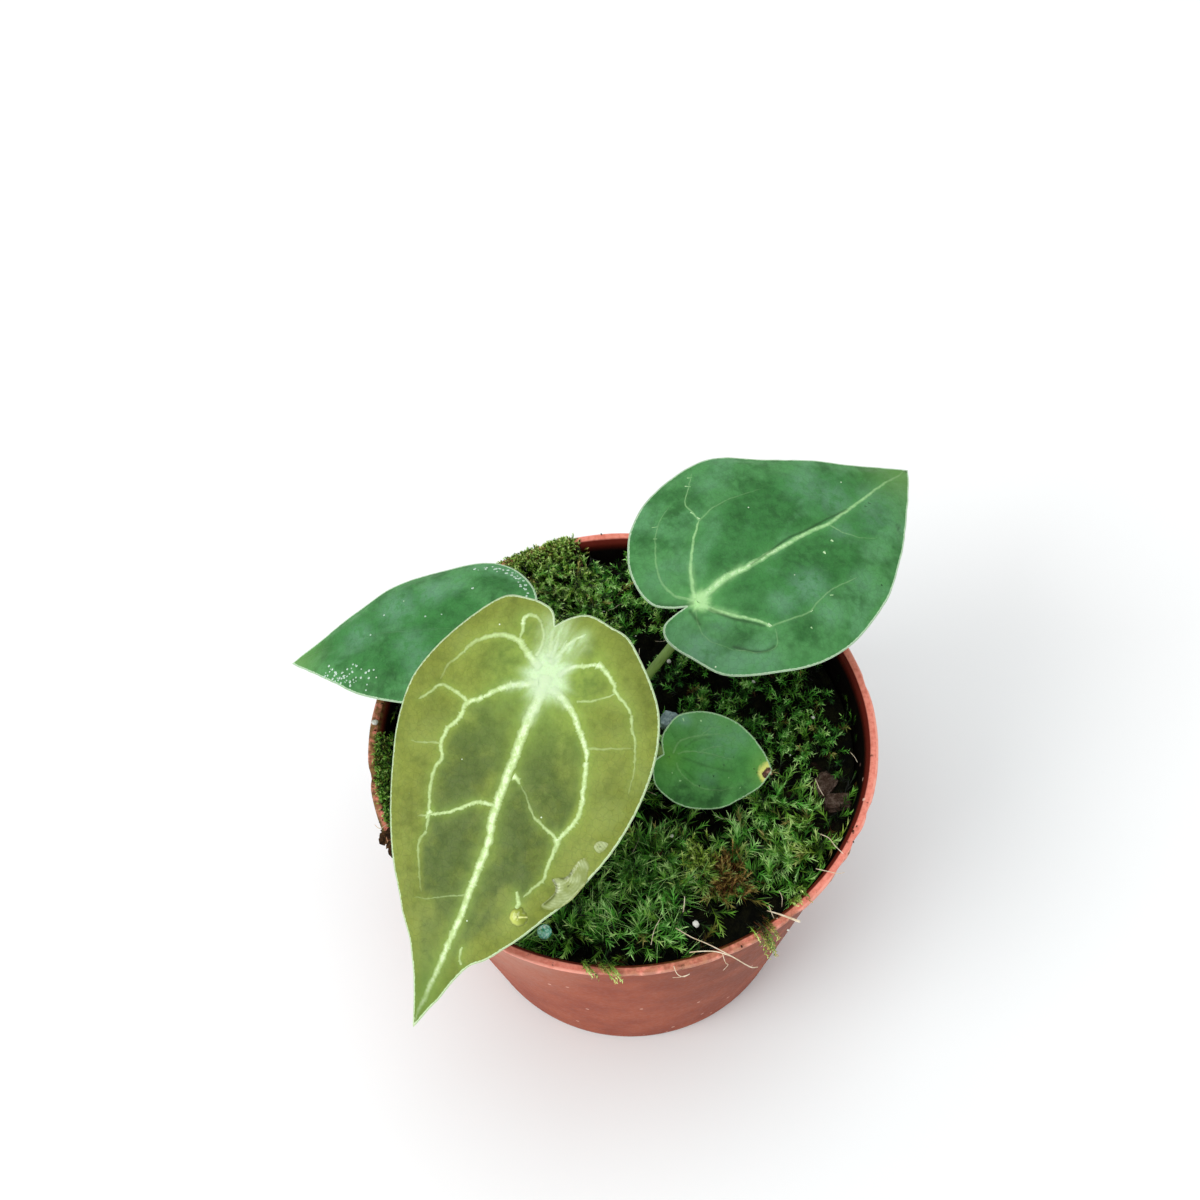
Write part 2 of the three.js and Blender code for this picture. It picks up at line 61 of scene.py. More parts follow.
# Pot: the rim and the height come from the frame
POT_HIGH = np.array(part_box("pot")[1]) / MM
POT = {
    "rim": POT_HIGH[0],
    "height": POT_HIGH[2],
    "base": 43.5,
    "wall": 1.2,
    "lip_width": 1.6,
    "overhang": 1.5,
    "lip": 1.0,
    "pad": 12.0,
    "foot_width": 6.5,
    "rise": 2.0,
    "slope": 1.5,
    "drain_radius": 3.4,
    "drain_ring": 25.0,
    "drains": 8,
    "sides": 240,
}
POT["taper"] = (POT["rim"] - POT["overhang"] - POT["base"]) / (POT["height"] - POT["lip"])

# Soiled stretches of the lip: middle in degrees, the cosines where a stretch starts and is full, share
LIP_DIRT = [(180, 0.9, 0.97, 0.9), (128, 0.84, 0.93, 0.95), (-38, 0.992, 0.998, 0.85),
            (-75, 0.85, 0.97, 0.5), (203, 0.985, 0.997, 1.0)]
# Tinted stretches of the wall, the same way, with their colour: lighter at the left as painted light with
# some dust, darker and browner at the right as painted shade with some staining
WALL_LIGHT_AND_SHADE = [(-128, 0.8, 0.97, 0.6, (206, 152, 132)), (-48, 0.6, 0.95, 0.8, (116, 60, 38))]

# Chips in the lip: where in degrees, depth in millimetres and width in degrees
LIP_CHIPS = [(-97, 0.5, 1.6), (-92, 0.35, 1.0), (-72, 0.4, 1.2), (-55, 0.6, 1.4), (-40, 0.5, 2.0),
             (-33, 0.7, 2.2), (-25, 0.4, 1.5), (-120, 0.4, 1.4), (187, 0.6, 2.0), (112, 0.5, 2.5),
             (60, 0.4, 1.2), (8, 0.3, 1.5)]

SOIL_LEVEL = 76.5
SOIL_CRUMB = 1.7
CRUMB_COUNT = 520
CHIP_SHAPE = np.array([1.5, 0.9, 0.6])
GRAIN_SHAPE = np.array([1.1, 0.9, 0.8])
STEM = {"x": -3.0, "y": 5.0, "radius": 5.6, "top": 80.0}
GAP = 0.3

# Leaves: hub, tip, facing, half width, bend and edges as in the CAD source, in millimetres.
# Veins are [half width at the hub end, half width at the far end, brightness at each end, points],
# with points as [across, along] from the hub.
LEAVES = {
    "front": {
        "hub": (-15.3, -12.7, 130),
        "tip": (-47.5, -68.8, 89.8),
        "facing": (235, 58),
        "half_width": 29,
        "bend": {"arch": 5, "fold": 3, "droop": 5, "wave": 0.6},
        "stalk": {"azimuth": 235, "rise": 24, "lean": 3, "approach": 14},
        "half_turns": 200,
        "rings": 76,
        "star": {"middle": (-0.1, -0.9), "half": (4.7, 5.9), "lean": (0.3, -0.95), "strength": 1.1},
        "hub_glow": (12.0, 0.85),
        "bands": [
            ([(0.7, -3), (1.3, -6.5), (2.8, -11)], 3.0, 1.05),
            ([(0.2, -3), (-0.9, -7), (-3.2, -10.8)], 1.6, 0.9),
            ([(-1, -3), (-2.6, -6.2), (-4.4, -9)], 1.5, 0.5),
            ([(-0.4, 2), (-0.6, 8)], 1.5, 0.9),
            ([(2, 1.3), (6.5, 4)], 1.0, 0.85),
            ([(-2.2, 1), (-6.5, 3)], 1.0, 0.85),
            ([(2, -1.8), (5.2, -3.6)], 0.9, 0.8),
            ([(-1.8, -1.6), (-4.4, -4.6)], 0.9, 0.75),
        ],
        "shade": [
            (9.7, -1.0, 4.6, 0.7), (8.0, -8.3, 1.7, 0.7), (-8.9, -2.3, 3.9, 0.8), (-6.2, -9.2, 2.2, 0.4),
            (-8.6, 10.2, 5.0, 0.6), (-9.4, 20.8, 6.0, 0.45), (8.4, 17, 6.0, 0.4), (4.9, 40.6, 6.0, 0.3),
            (8, 28, 4.0, 0.3), (-8, 34, 5.0, 0.3),
        ],
        "light": [
            (-16.5, -1.9, 3.0, 0.5), (-26.0, 11.3, 4.0, 0.6), (-24.5, 20.0, 4.5, 0.6),
            (-22.7, 28.7, 4.0, 0.4), (-20.0, 5.0, 4.0, 0.4), (11.9, 50.0, 3.5, 0.4), (1.0, 61.6, 4.0, 0.5),
            (21.0, -1.0, 3.5, 0.4), (19.5, 20.0, 5.0, 0.35), (-12.0, 47.0, 5.0, 0.3),
            (-23.0, 31.0, 6.5, 0.35), (-22.0, 12.0, 6.0, 0.3), (5.0, 56.0, 5.0, 0.45),
            (-4.0, 56.0, 4.0, 0.3),
        ],
        "panel_softness": 0.07,
        "edges": [
            [(3.5, -11), (6, -14), (11.5, -14.5), (17.5, -12.5), (24.5, -2), (28, 9.5), (26.5, 22),
             (21, 34.5), (14.6, 47), (10.4, 53.5), (5.8, 60), (2.7, 66.7), (0, 76.2)],
            [(3.5, -11), (1.5, -13.5), (-2, -15.5), (-7.5, -15), (-14, -13), (-24.5, -2.5), (-28.5, 11),
             (-27.5, 25.5), (-21.5, 40.5), (-13, 54), (-7, 60.5), (-3.5, 69), (0, 76.2)],
        ],
        "inner": [
            [(0, -4), (9, 3), (13, 10), (14, 20), (13, 30), (10.5, 40), (6, 52), (0, 70)],
            [(0, -4), (-9, 5), (-15, 11), (-17.5, 20), (-17, 32), (-15, 42), (-8, 52), (0, 70)],
        ],
        "veins": [
            [0.9, 0.42, 1, 0.9,
             [(0, -1), (-0.5, 4.5), (-0.5, 10), (-1, 15.5), (-1.5, 25), (-2, 30.5), (-3, 34), (-3, 44.5),
              (-3, 50), (-2.5, 55), (-2, 61.5), (-1, 68), (0, 75)]],
            [0.62, 0.42, 1, 0.85, [(1, 1), (5, 3), (8, 5), (10.5, 8)]],
            [0.44, 0.26, 0.85, 0.5,
             [(10.5, 8), (13.5, 10.5), (13.5, 13), (15, 17), (15, 20), (13.5, 22.5), (14, 25), (13, 30),
              (11.5, 33.5), (10.5, 37.5)]],
            [0.26, 0.16, 0.45, 0.1, [(10.5, 37.5), (11, 40.5), (8.5, 46.5), (7, 49.5)]],
            [0.34, 0.24, 0.85, 0.7, [(-1.5, 27), (2.5, 28), (5.5, 30.5), (8, 32.5), (11, 34)]],
            [0.24, 0.14, 0.6, 0.1, [(11, 34), (12.2, 34.8), (13.5, 35.5)]],
            [0.16, 0.1, 0.35, 0.15, [(-2.5, 46), (1.5, 48), (5, 50), (8, 51)]],
            [0.6, 0.34, 0.95, 0.4,
             [(2, -2), (5.5, -3.5), (9, -5.5), (12, -5.5), (14, -5), (16.5, -3.5), (18.5, -1.5), (19.5, 1)]],
            [0.26, 0.2, 0.35, 0.1, [(19.5, 1), (20.5, 3), (21.5, 5), (21.5, 8)]],
            [0.3, 0.2, 0.6, 0.4, [(4.0, -3.9), (3.9, -6.5), (5.0, -9.0), (6.5, -10.7)]],
            [0.2, 0.4, 0.4, 0.9, [(6.5, -10.7), (8.0, -11.4), (9.5, -11.3), (10.4, -10.4), (10.3, -9.3)]],
            [0.42, 0.18, 0.9, 0.4, [(10.3, -9.3), (9.5, -8.1), (9.0, -6.0)]],
            [0.45, 0.3, 0.95, 0.9,
             [(-2.5, -1.7), (-3.1, -3.3), (-4.4, -4.6), (-6.5, -5.6), (-8.6, -6.7), (-10.1, -6.6)]],
            [0.42, 0.2, 0.85, 0.6,
             [(-10.1, -6.6), (-12.1, -5.7), (-14.0, -4.3), (-15.2, -3.0), (-17.1, -2.0), (-18.6, -1.1),
              (-19.9, 0.1)]],
            [0.26, 0.1, 0.6, 0.1, [(-19.9, 0.1), (-21.1, 2.4), (-22.5, 4.3), (-25, 10), (-26, 15)]],
            [0.6, 0.4, 1, 0.9,
             [(-2.2, 1.1), (-4.7, 1.8), (-7.8, 3.4), (-10.2, 5.3), (-12.2, 7.3), (-13.7, 8.8),
              (-14.7, 9.8), (-15.6, 12)]],
            [0.42, 0.34, 0.9, 0.8,
             [(-15.6, 12), (-17, 16), (-18, 19.5), (-18.5, 22.5), (-18, 24.5), (-17, 27), (-16.5, 29)]],
            [0.32, 0.2, 0.75, 0.45,
             [(-16.5, 29), (-16.5, 32), (-16.6, 34.6), (-16.7, 36.5), (-15.9, 38.2), (-15, 39.9),
              (-14.3, 41.4)]],
            [0.25, 0.4, 0.6, 0.9, [(-12.4, 41), (-13.2, 42.0), (-13.7, 42.8), (-13.8, 44.1)]],
            [0.1, 0.3, 0.05, 0.75,
             [(-3.5, 20.5), (-6.5, 22.5), (-9.5, 25.5), (-12.5, 27), (-15.5, 28), (-16.5, 29)]],
            [0.6, 0.2, 1, 0.6, [(-2.6, 20.2), (-3.6, 20.4), (-4.6, 21.2)]],
            [0.7, 0.2, 0.9, 0.6, [(-16.2, 28.2), (-16.6, 29.4), (-16.6, 31)]],
            [0.7, 0.3, 1, 0.7, [(-8.9, -6.9), (-9.9, -6.7), (-11, -6.2)]],
            [0.5, 0.2, 1, 0.6, [(11.2, 33.2), (11.5, 34.2), (11.6, 35.2)]],
            [0.24, 0.12, 0.35, 0.15, [(-14.5, 9.5), (-18.5, 8), (-23, 6)]],
            [0.2, 0.14, 0.4, 0.45, [(-8.4, 1.6), (-11.4, 0.3), (-13.8, -1.4), (-15.2, -3.0)]],
            [0.5, 0.22, 0.9, 0.8, [(0.5, -3.5), (-0.4, -6.4), (-1.7, -9.4), (-3.6, -11.8)]],
            [0.6, 0.25, 0.7, 0.35, [(1.2, -4.6), (2.2, -7.4), (3.3, -10.2)]],
            [0.5, 0.15, 0.7, 0.4, [(0.7, -4.6), (1.1, -7.4), (1.6, -9.8)]],
            [0.4, 0.12, 0.6, 0.4, [(0.2, -4.4), (-0.3, -7), (-0.4, -9.2)]],
            [0.32, 0.22, 0.7, 0.35,
             [(13.5, 10), (15, 9.5), (17.5, 9), (21, 9), (22.5, 11.5), (24.5, 13.5)]],
            [0.2, 0.12, 0.35, 0.2, [(15, 20), (17, 20.5), (19.5, 21.5), (22, 22)]],
            [0.2, 0.2, 0.7, 0.6, [(-5.5, 56), (-5.5, 58), (-6.5, 59.5)]],
        ],
    },
    "right": {
        "hub": (19.5, 17.2, 112),
        "tip": (77, 60.6, 101.9),
        "facing": (353, 79),
        "half_width": 29,
        "bend": {"arch": 5, "fold": 3, "droop": 5, "wave": 0.6},
        "stalk": {"azimuth": 27, "rise": 16, "lean": 5.5, "approach": 18},
        "half_turns": 190,
        "rings": 72,
        "star": {"middle": (0.1, 0.4), "half": (2.5, 2.3), "lean": (0.3, 1), "strength": 1.0},
        "hub_glow": (6.0, 0.55),
        "teeth": 0.35,
        "shade": [
            (7.1, 25.8, 5.5, 0.8), (-6.4, 30.7, 5.5, 0.7), (21.5, 15.4, 4.2, 0.7), (12.5, 1.6, 3.6, 0.7),
            (20.7, 28.6, 4.2, 0.6), (-20.8, 11.4, 4.8, 0.7), (-2.6, 11.6, 4.4, 0.7), (6.4, 33.0, 3.6, 0.5),
            (-19.0, 0.9, 3.4, 0.5), (-24.0, 16.0, 3.6, 0.6), (-19.2, 30.0, 4.4, 0.5),
            (-10.0, 20.0, 4.4, 0.5),
        ],
        # Light places: painted sheen from the lamps
        "light": [
            (13.1, 22, 4.6, 0.7), (13.2, 14.3, 3.6, 0.5), (7.2, 0, 3.0, 0.4), (20.7, 1.6, 4.0, 0.5),
            (-8, 41.6, 5.5, 0.5), (-24.0, 22.5, 4.0, 0.2), (4, 55.5, 5.0, 0.4), (19.6, 33.6, 3.4, 0.4),
            (-10.3, -3.8, 3.0, 0.3), (9.4, -7.3, 4.5, 0.8), (-2.0, 45.0, 5.0, 0.6), (9.0, 50.0, 5.0, 0.4),
            (6.0, 39.5, 3.4, 0.5), (21.0, 21.5, 3.4, 0.5), (17.0, -3.5, 3.4, 0.5),
        ],
        "dashes": [
            (-27.3, 21.1, 50, 1.2, 0.12, 0.8), (-25.4, 18.8, 40, 1.4, 0.14, 0.9),
            (-18.7, 14.2, 10, 1.0, 0.16, 1), (-16.6, 14.3, 20, 0.9, 0.2, 1),
            (-21.6, 5.5, 60, 1.5, 0.12, 0.7), (-19, 3.3, 50, 1.0, 0.1, 0.6), (13.3, 7.1, 30, 1.2, 0.22, 1),
            (15.1, 8.2, 20, 1.1, 0.24, 1), (18.2, 18.3, 90, 0.8, 0.14, 1), (17.4, 15.3, 80, 0.8, 0.12, 0.9),
            (18, 24.6, 60, 0.9, 0.14, 0.9), (8.8, 31.1, 0, 0.8, 0.3, 1.1), (7.3, 35.1, 20, 0.7, 0.26, 1.1),
            (21.2, 15.6, 0, 0.5, 0.16, 1), (3.8, 52.5, 30, 0.9, 0.2, -1), (4, 50.9, 40, 0.7, 0.16, -0.8),
            (22.9, 36.6, 0, 0.5, 0.2, -1),
        ],
        "bands": [
            ([(0, 0), (-0.5, 6), (0, 13)], 1.0, 0.6),
            ([(0, 0), (4, 1.5), (8, 4)], 0.8, 0.45),
            ([(0, 0), (-4, 2), (-8, 4.5)], 0.7, 0.35),
        ],
        # Creases painted with shade: half width, strength and points
        "crease_shades": [
            (0.4, 0.9, [(13.8, -1.3), (16.7, 0.6), (19, 3.1), (19.5, 5.7)]),
            (0.4, 0.7, [(0.7, -2.8), (4.7, -3.4)]),
            (0.32, 0.85, [(0.6, 15.4), (0.6, 21.2), (0.4, 27.3), (1.4, 34.2), (1.8, 39.9), (2.1, 45.9)]),
            (0.42, 0.8, [(3.3, 0.7), (7.4, 2.4), (10.9, 4.7), (14.4, 7)]),
            (0.45, 0.6, [(-5.3, -6.9), (-1.8, -3.7), (-0.6, -1.2)]),
            (0.8, 1.0, [(0.3, 72.1), (0, 73)]),
            (0.35, 0.8, [(14.0, 52.3), (12.6, 53.2)]),
        ],
        "edges": [
            [(-0.8, -2.5), (-1, -6), (-0.6, -9), (1.5, -10.7), (4.5, -11), (9, -10), (17.5, -6.5), (24, 2),
             (28, 10), (29.4, 20), (27.2, 32), (21.5, 44), (11, 59), (0, 72.8)],
            [(-0.8, -2.5), (-3, -5.5), (-6.5, -8), (-12, -7.8), (-18.2, -5.2), (-24.6, 0.8), (-29.5, 11),
             (-30, 24), (-26.8, 32.7), (-16.9, 45), (-6.1, 60.8), (0, 72.8)],
        ],
        "inner": [
            [(0, -4), (10, 4), (16, 9), (18, 18), (17.5, 32), (12, 46), (5, 60), (0, 70)],
            [(0, -4), (-9, 3), (-15.5, 12), (-17, 24), (-14, 40), (-8, 52), (-3, 62), (0, 70)],
        ],
        "veins": [
            [0.72, 0.2, 0.95, 0.6,
             [(0, 0), (-0.5, 4), (-0.5, 9), (0.5, 14.5), (1, 20.5), (1.5, 26.5), (2, 33), (3, 38),
              (2.5, 43.5), (2, 51), (1, 59.5), (0.5, 66.5), (0, 72)]],
            [0.4, 0.2, 0.7, 0.6, [(-1, 0), (-4.5, 2), (-8, 4.5), (-11.5, 8), (-14, 11), (-16, 14)]],
            [0.2, 0.1, 0.25, 0.08, [(-16, 14), (-16.5, 17.5), (-16.5, 21.5), (-16, 25.5), (-14, 32)]],
            [0.18, 0.1, 0.5, 0.2, [(-16, 14), (-19, 14.5), (-22, 15), (-26, 20), (-28, 22.5)]],
            [0.3, 0.1, 0.35, 0.15,
             [(-1, -0.5), (-4.5, -3), (-9.5, -3), (-13.5, -1), (-17.5, 2), (-20.5, 5), (-22.5, 8),
              (-24, 12)]],
            [0.5, 0.3, 0.7, 0.85, [(1, 0), (5.5, 2), (10, 5), (13, 7), (15.5, 8)]],
            [0.22, 0.14, 0.3, 0.2,
             [(15.5, 8), (16, 10.5), (17, 14), (18, 17.5), (17.5, 20.5), (17, 25.5), (18, 33)]],
            [0.16, 0.1, 0.15, 0.3, [(16.5, 8.5), (19.5, 6.5), (19.5, 4), (18, 1.5), (14.5, -1.5)]],
            [0.2, 0.1, 0.2, 0.1, [(1, -1.5), (4, -3.5), (8, -4.5), (12, -3), (15, -1.5)]],
            [0.18, 0.1, 0.35, 0.1, [(3, 38), (6.5, 39.5), (10, 42), (12.5, 46)]],
            [0.35, 0.15, 0.6, 0.4, [(-0.8, -0.6), (-2.8, -1.8), (-4.2, -2.6)]],
        ],
    },
    "left": {
        "hub": (-29.6, 19.4, 105),
        "tip": (-79.7, 25.6, 86.6),
        "facing": (176, 70),
        "half_width": 20,
        "bend": {"arch": 4, "fold": 2, "droop": 4, "wave": 0.5},
        "stalk": {"azimuth": 150, "rise": 15, "lean": 4, "approach": 12},
        "half_turns": 150,
        "rings": 56,
        "shade": [
            (5.7, 43.2, 4.0, 0.5), (-13.4, 22.2, 5.0, 0.7), (-1.2, 26.1, 5.0, 0.5), (12.3, -0.5, 4.0, 0.5),
            (-16.5, 10, 4.0, 0.6),
        ],
        # Light places: painted sheen from the lamps
        "light": [
            (7.5, 22.8, 5.0, 0.7), (10.8, 14, 4.0, 0.7), (1, 32.5, 4.0, 0.6), (12.7, 9.9, 3.6, 0.5),
            (-3.0, 18.0, 4.0, 0.5), (-8.0, 15.0, 4.0, 0.5),
        ],
        "edges": [
            [(0, -3), (2, -7), (5, -10), (8.5, -10.3), (13.5, -8), (18, -3.5), (19.8, 2), (19.2, 10.5),
             (17, 19.6), (13, 28), (7.9, 37), (3.4, 44.5), (0, 53.7)],
            [(0, -3), (-2, -7.5), (-5, -10.5), (-9, -10.5), (-14.5, -8), (-18.8, -3), (-20.3, 4),
             (-19.8, 12), (-18.2, 19.5), (-14.8, 29.7), (-10.3, 37.6), (-4.9, 46), (0, 53.7)],
        ],
        "inner": [
            [(0, -4), (7, 2), (11, 8), (12, 18), (9, 30), (4, 42), (0, 52)],
            [(0, -4), (-7, 2), (-11, 8), (-12, 18), (-9, 30), (-4, 42), (0, 52)],
        ],
        "veins": [
            [0.14, 0.08, 0.02, 0.01, [(0, 0), (0, 12), (0.6, 25), (0.5, 38), (0, 53)]],
        ],
    },
    "small": {
        "hub": (10, -13, 95),
        "tip": (33.2, -16.7, 92.2),
        "facing": (272, 58),
        "half_width": 11,
        "bend": {"arch": 1.5, "fold": 0.8, "droop": 1.5, "wave": 0.3},
        "stalk": {"azimuth": 310, "rise": 7, "lean": 2, "approach": 5},
        "half_turns": 110,
        "rings": 56,
        "hub_glow": (3.2, 0.75),
        "scorch": (0.6, 23.2, 3.2),
        "shade": [(7.6, 11, 3.8, 0.8), (8.3, 4.3, 3.4, 0.8), (4.9, 18.3, 3.0, 0.6)],
        # Light places: painted sheen from the lamps
        "light": [
            (-4.6, 12.4, 3.6, 0.6), (-1.9, 8.6, 2.6, 0.35), (-9.2, 2.2, 2.2, 0.9), (3.4, 9.3, 2.4, 0.35),
            (-7.5, 9.0, 3.0, 0.5), (-6.5, 15.0, 2.6, 0.5),
        ],
        # Creases painted with shade: half width, strength and points
        "crease_shades": [
            (0.3, 0.4, [(-0.3, 3.2), (0.2, 5.6), (0.8, 8.3), (1.2, 11.3), (1.3, 14.3)]),
            (0.25, 0.4, [(-2.9, 3.5), (-4.9, 6.0), (-5.6, 9.0)]),
            (0.25, 0.4, [(2.4, 3.8), (4.3, 6.4)]),
        ],
        "dashes": [
            (3.0, 10.6, 0, 0.5, 0.2, -0.8), (5.6, 7.7, 20, 0.6, 0.2, -0.8), (0.2, 19.5, 50, 0.4, 0.2, -1),
            (1.0, 20.2, 0, 0.4, 0.2, -1), (-1.9, 20.8, 20, 0.5, 0.18, -0.8),
            (-8.5, 12.3, 0, 0.4, 0.16, -0.5), (-1.8, 14.5, 0, 0.4, 0.14, -0.5),
            (0.2, 12.6, 0, 0.4, 0.14, -0.5), (-9.0, 6.3, 0, 0.4, 0.14, 0.9),
            (-8.8, 2.4, 30, 0.8, 0.16, 0.9), (4.9, 3.3, 80, 0.5, 0.14, 0.8), (3.4, 1.3, 0, 0.4, 0.12, 0.6),
            (2.9, 13.9, 0, 0.4, 0.1, 0.5), (4.8, 16.8, 0, 0.4, 0.1, 0.5), (0.7, 23.5, 90, 0.5, 0.3, 1),
        ],
        "edges": [
            [(-0.5, -1), (1.5, -3), (4, -2.8), (6.5, -2), (9, 1), (10.5, 5), (10.5, 9.5), (9.5, 13.5),
             (7, 17.5), (4, 21.3), (0, 23.7)],
            [(-0.5, -1), (-4, -1.8), (-7, -0.7), (-9.7, 1.5), (-11, 6), (-10.8, 10.5), (-9.5, 14.5),
             (-7.5, 17.5), (-4, 21), (0, 23.7)],
        ],
        "inner": [
            [(0, -1), (4, 3), (6, 9), (4, 16), (0, 22)],
            [(0, -1), (-4, 3), (-6, 9), (-4, 16), (0, 22)],
        ],
        "veins": [
            [0.2, 0.1, 0.2, 0.05, [(-1, 1), (-3.9, 2.2), (-5.7, 6.6), (-6.5, 11.3), (-5.4, 15.4)]],
            [0.18, 0.1, 0.2, 0.05, [(-1, 2), (-1.9, 4.6), (-1.9, 9), (-1.2, 14.5)]],
            [0.18, 0.1, 0.16, 0.04, [(1, 2), (3.2, 3.2), (5.6, 7), (6, 12), (4.6, 16)]],
            [0.14, 0.08, 0.16, 0.04, [(-1.9, 6.5), (-3.4, 9.5), (-4.2, 13)]],
            [0.14, 0.08, 0.14, 0.04, [(-5.6, 6.4), (-7.4, 8.4), (-8.4, 11)]],
        ],
    },
}
STALK = {"radius": 1.15, "foot_ring": 3.4, "sheath": 1.85, "sheath_height": 7, "knee": 1.5, "knee_length": 5}
SEAT = 1.15
HALF_THICKNESS = 0.3
EDGE_HALF_THICKNESS = 0.15
FULL_HALF_WIDTH = 29
# Rings of points on a blade: how far those at the hub are drawn in, and depths of the last from the edge
HUB_EASE = 1.7
EDGE_INSETS = (1.25, 0.85, 0.5, 0.22, 0.0)
# Raised veins: step along one, and across it the places in half widths, rises and brightnesses
VEIN_STEP = 0.22
VEIN_OFFSETS = np.array([-1.7, -1.1, -0.55, 0.0, 0.55, 1.1, 1.7])
VEIN_RISES = np.array([-0.03, 0.03, 0.08, 0.11, 0.08, 0.03, -0.03])
VEIN_CORES = np.array([0.0, 0.4, 0.92, 1.0, 0.92, 0.4, 0.0])

# Moss: the canopy's height as in the CAD source
MOSS_LEVEL = 84.4
MOSS_TILT = 0.02
MOSS_SINK = 5.2
MOSS_SINK_FROM = 26
MOSS_SINK_OVER = 28


def smoothstep(value):
    held = np.clip(value, 0, 1)
    return held * held * (3 - 2 * held)


def direction(azimuth, elevation=0):
    level = math.cos(math.radians(elevation))
    turn = math.radians(azimuth)
    return np.array([level * math.cos(turn), level * math.sin(turn), math.sin(math.radians(elevation))])


def unit(vectors):
    return vectors / np.maximum(np.linalg.norm(vectors, axis=-1, keepdims=True), 1e-9)


def uneven(points, size, seed, octaves=3):
    """Smooth uneven values, mostly from -1 to 1: waves of about that size in random directions"""
    random = np.random.default_rng(seed)
    points = np.atleast_2d(points)
    total = np.zeros(len(points))
    for octave in range(octaves):
        for _ in range(5):
            way = unit(random.normal(size=points.shape[1]))
            wave = 2 * math.pi / (size / 2**octave) * random.uniform(0.7, 1.3)
            total += np.sin(points @ way * wave + random.uniform(0, 2 * math.pi)) / 2**octave
    return total / 4


def paint(red, green, blue):
    """Linear colour from the 0 to 255 values that a screen shows"""
    values = np.array([red, green, blue]) / 255
    linear = np.where(values <= 0.04045, values / 12.92, ((values + 0.055) / 1.055) ** 2.4)
    return (*(float(value) for value in linear), 1.0)


# Meshes


def write_mesh(name, points, face_sets, fields=None):
    """Mesh from points in millimetres and sets of faces, each with its material number"""
    mesh = bpy.data.meshes.new(name)
    face_sets = [(np.asarray(faces), number) for faces, number in face_sets if len(faces)]
    corners = np.concatenate([faces.ravel() for faces, _ in face_sets])
    sizes = np.concatenate([np.full(len(faces), faces.shape[1]) for faces, _ in face_sets])
    numbers = np.concatenate([np.full(len(faces), number) for faces, number in face_sets])
    mesh.vertices.add(len(points))
    mesh.vertices.foreach_set("co", (np.asarray(points, float) * MM).ravel())
    mesh.loops.add(len(corners))
    mesh.loops.foreach_set("vertex_index", corners.astype(np.int32))
    mesh.polygons.add(len(sizes))
    mesh.polygons.foreach_set("loop_start", np.concatenate([[0], np.cumsum(sizes)[:-1]]).astype(np.int32))
    mesh.polygons.foreach_set("material_index", numbers.astype(np.int32))
    mesh.polygons.foreach_set("use_smooth", np.ones(len(sizes), bool))
    mesh.update(calc_edges=True)
    for field, values in (fields or {}).items():
        mesh.attributes.new(field, "FLOAT", "POINT").data.foreach_set("value", np.asarray(values, float))
    return mesh


def add_vectors(mesh, name, vectors):
    """A vector for each point of a mesh, which its material reads as a field"""
    mesh.attributes.new(name, "FLOAT_VECTOR", "POINT").data.foreach_set("vector", vectors.ravel())


def flat_vectors(flat):
    return np.column_stack([flat, np.zeros(len(flat))])


def add_piece(name, mesh, materials, replaces=()):
    for material in materials:
        mesh.materials.append(material)
    piece = bpy.data.objects.new(name, mesh)
    bpy.context.scene.collection.objects.link(piece)
    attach(piece, "root")
    if replaces:
        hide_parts(*replaces)
    return piece


class Pile:
    """Points, faces and fields of many small shapes that become one mesh"""

    def __init__(self, *fields):
        self.points = []
        self.faces = []
        self.fields = {field: [] for field in fields}
        self.start = 0
        self.count = 0

    def add(self, points, faces, number=0, **fields):
        points = np.asarray(points, float).reshape(-1, 3)
        self.start = self.count
        self.count += len(points)
        self.points.append(points)
        self.join(faces, number)
        for field, values in self.fields.items():
            values.append(np.broadcast_to(np.asarray(fields.get(field, 0.0), float), (len(points),)))

    def join(self, faces, number=0):
        """More faces between the points that were added last"""
        self.faces.append((np.asarray(faces) + self.start, number))

    def add_tube(self, path, radius, sides, **fields):
        points, faces, ends = tube(path, radius, sides)
        self.add(points, faces, **fields)
        self.join(ends)

    def mesh(self, name):
        kinds = {}
        for faces, number in self.faces:
            kinds.setdefault((faces.shape[1], number), []).append(faces)
        sets = [(np.concatenate(faces), number) for (_, number), faces in kinds.items()]
        fields = {field: np.concatenate(values) for field, values in self.fields.items()}
        return write_mesh(name, np.concatenate(self.points), sets, fields)


def grid_faces(rows, columns, closed=False):
    """Quads between rows of points; closed joins the last column to the first"""
    wide = columns if closed else columns - 1
    row, column = np.meshgrid(np.arange(rows - 1), np.arange(wide), indexing="ij")
    after = (column + 1) % columns
    quads = [row * columns + column, row * columns + after, (row + 1) * columns + after,
             (row + 1) * columns + column]
    return np.stack([quad.ravel() for quad in quads], 1)


def ring_wall(high, low, around):
    """Quads between two rings of points that start at the given numbers"""
    step = np.arange(around)
    after = (step + 1) % around
    return np.column_stack([high + step, low + step, low + after, high + after])


def fan(middle, first, around):
    """Triangles between a middle point and a ring of points that starts at the given number"""
    step = np.arange(around)
    return np.column_stack([np.full(around, middle), first + step, first + (step + 1) % around])


def end_fans(rows, around):
    """Triangles that close a closed grid at both ends, from two points that follow its last row"""
    total = rows * around
    return np.vstack([fan(total, 0, around)[:, [0, 2, 1]], fan(total + 1, total - around, around)])


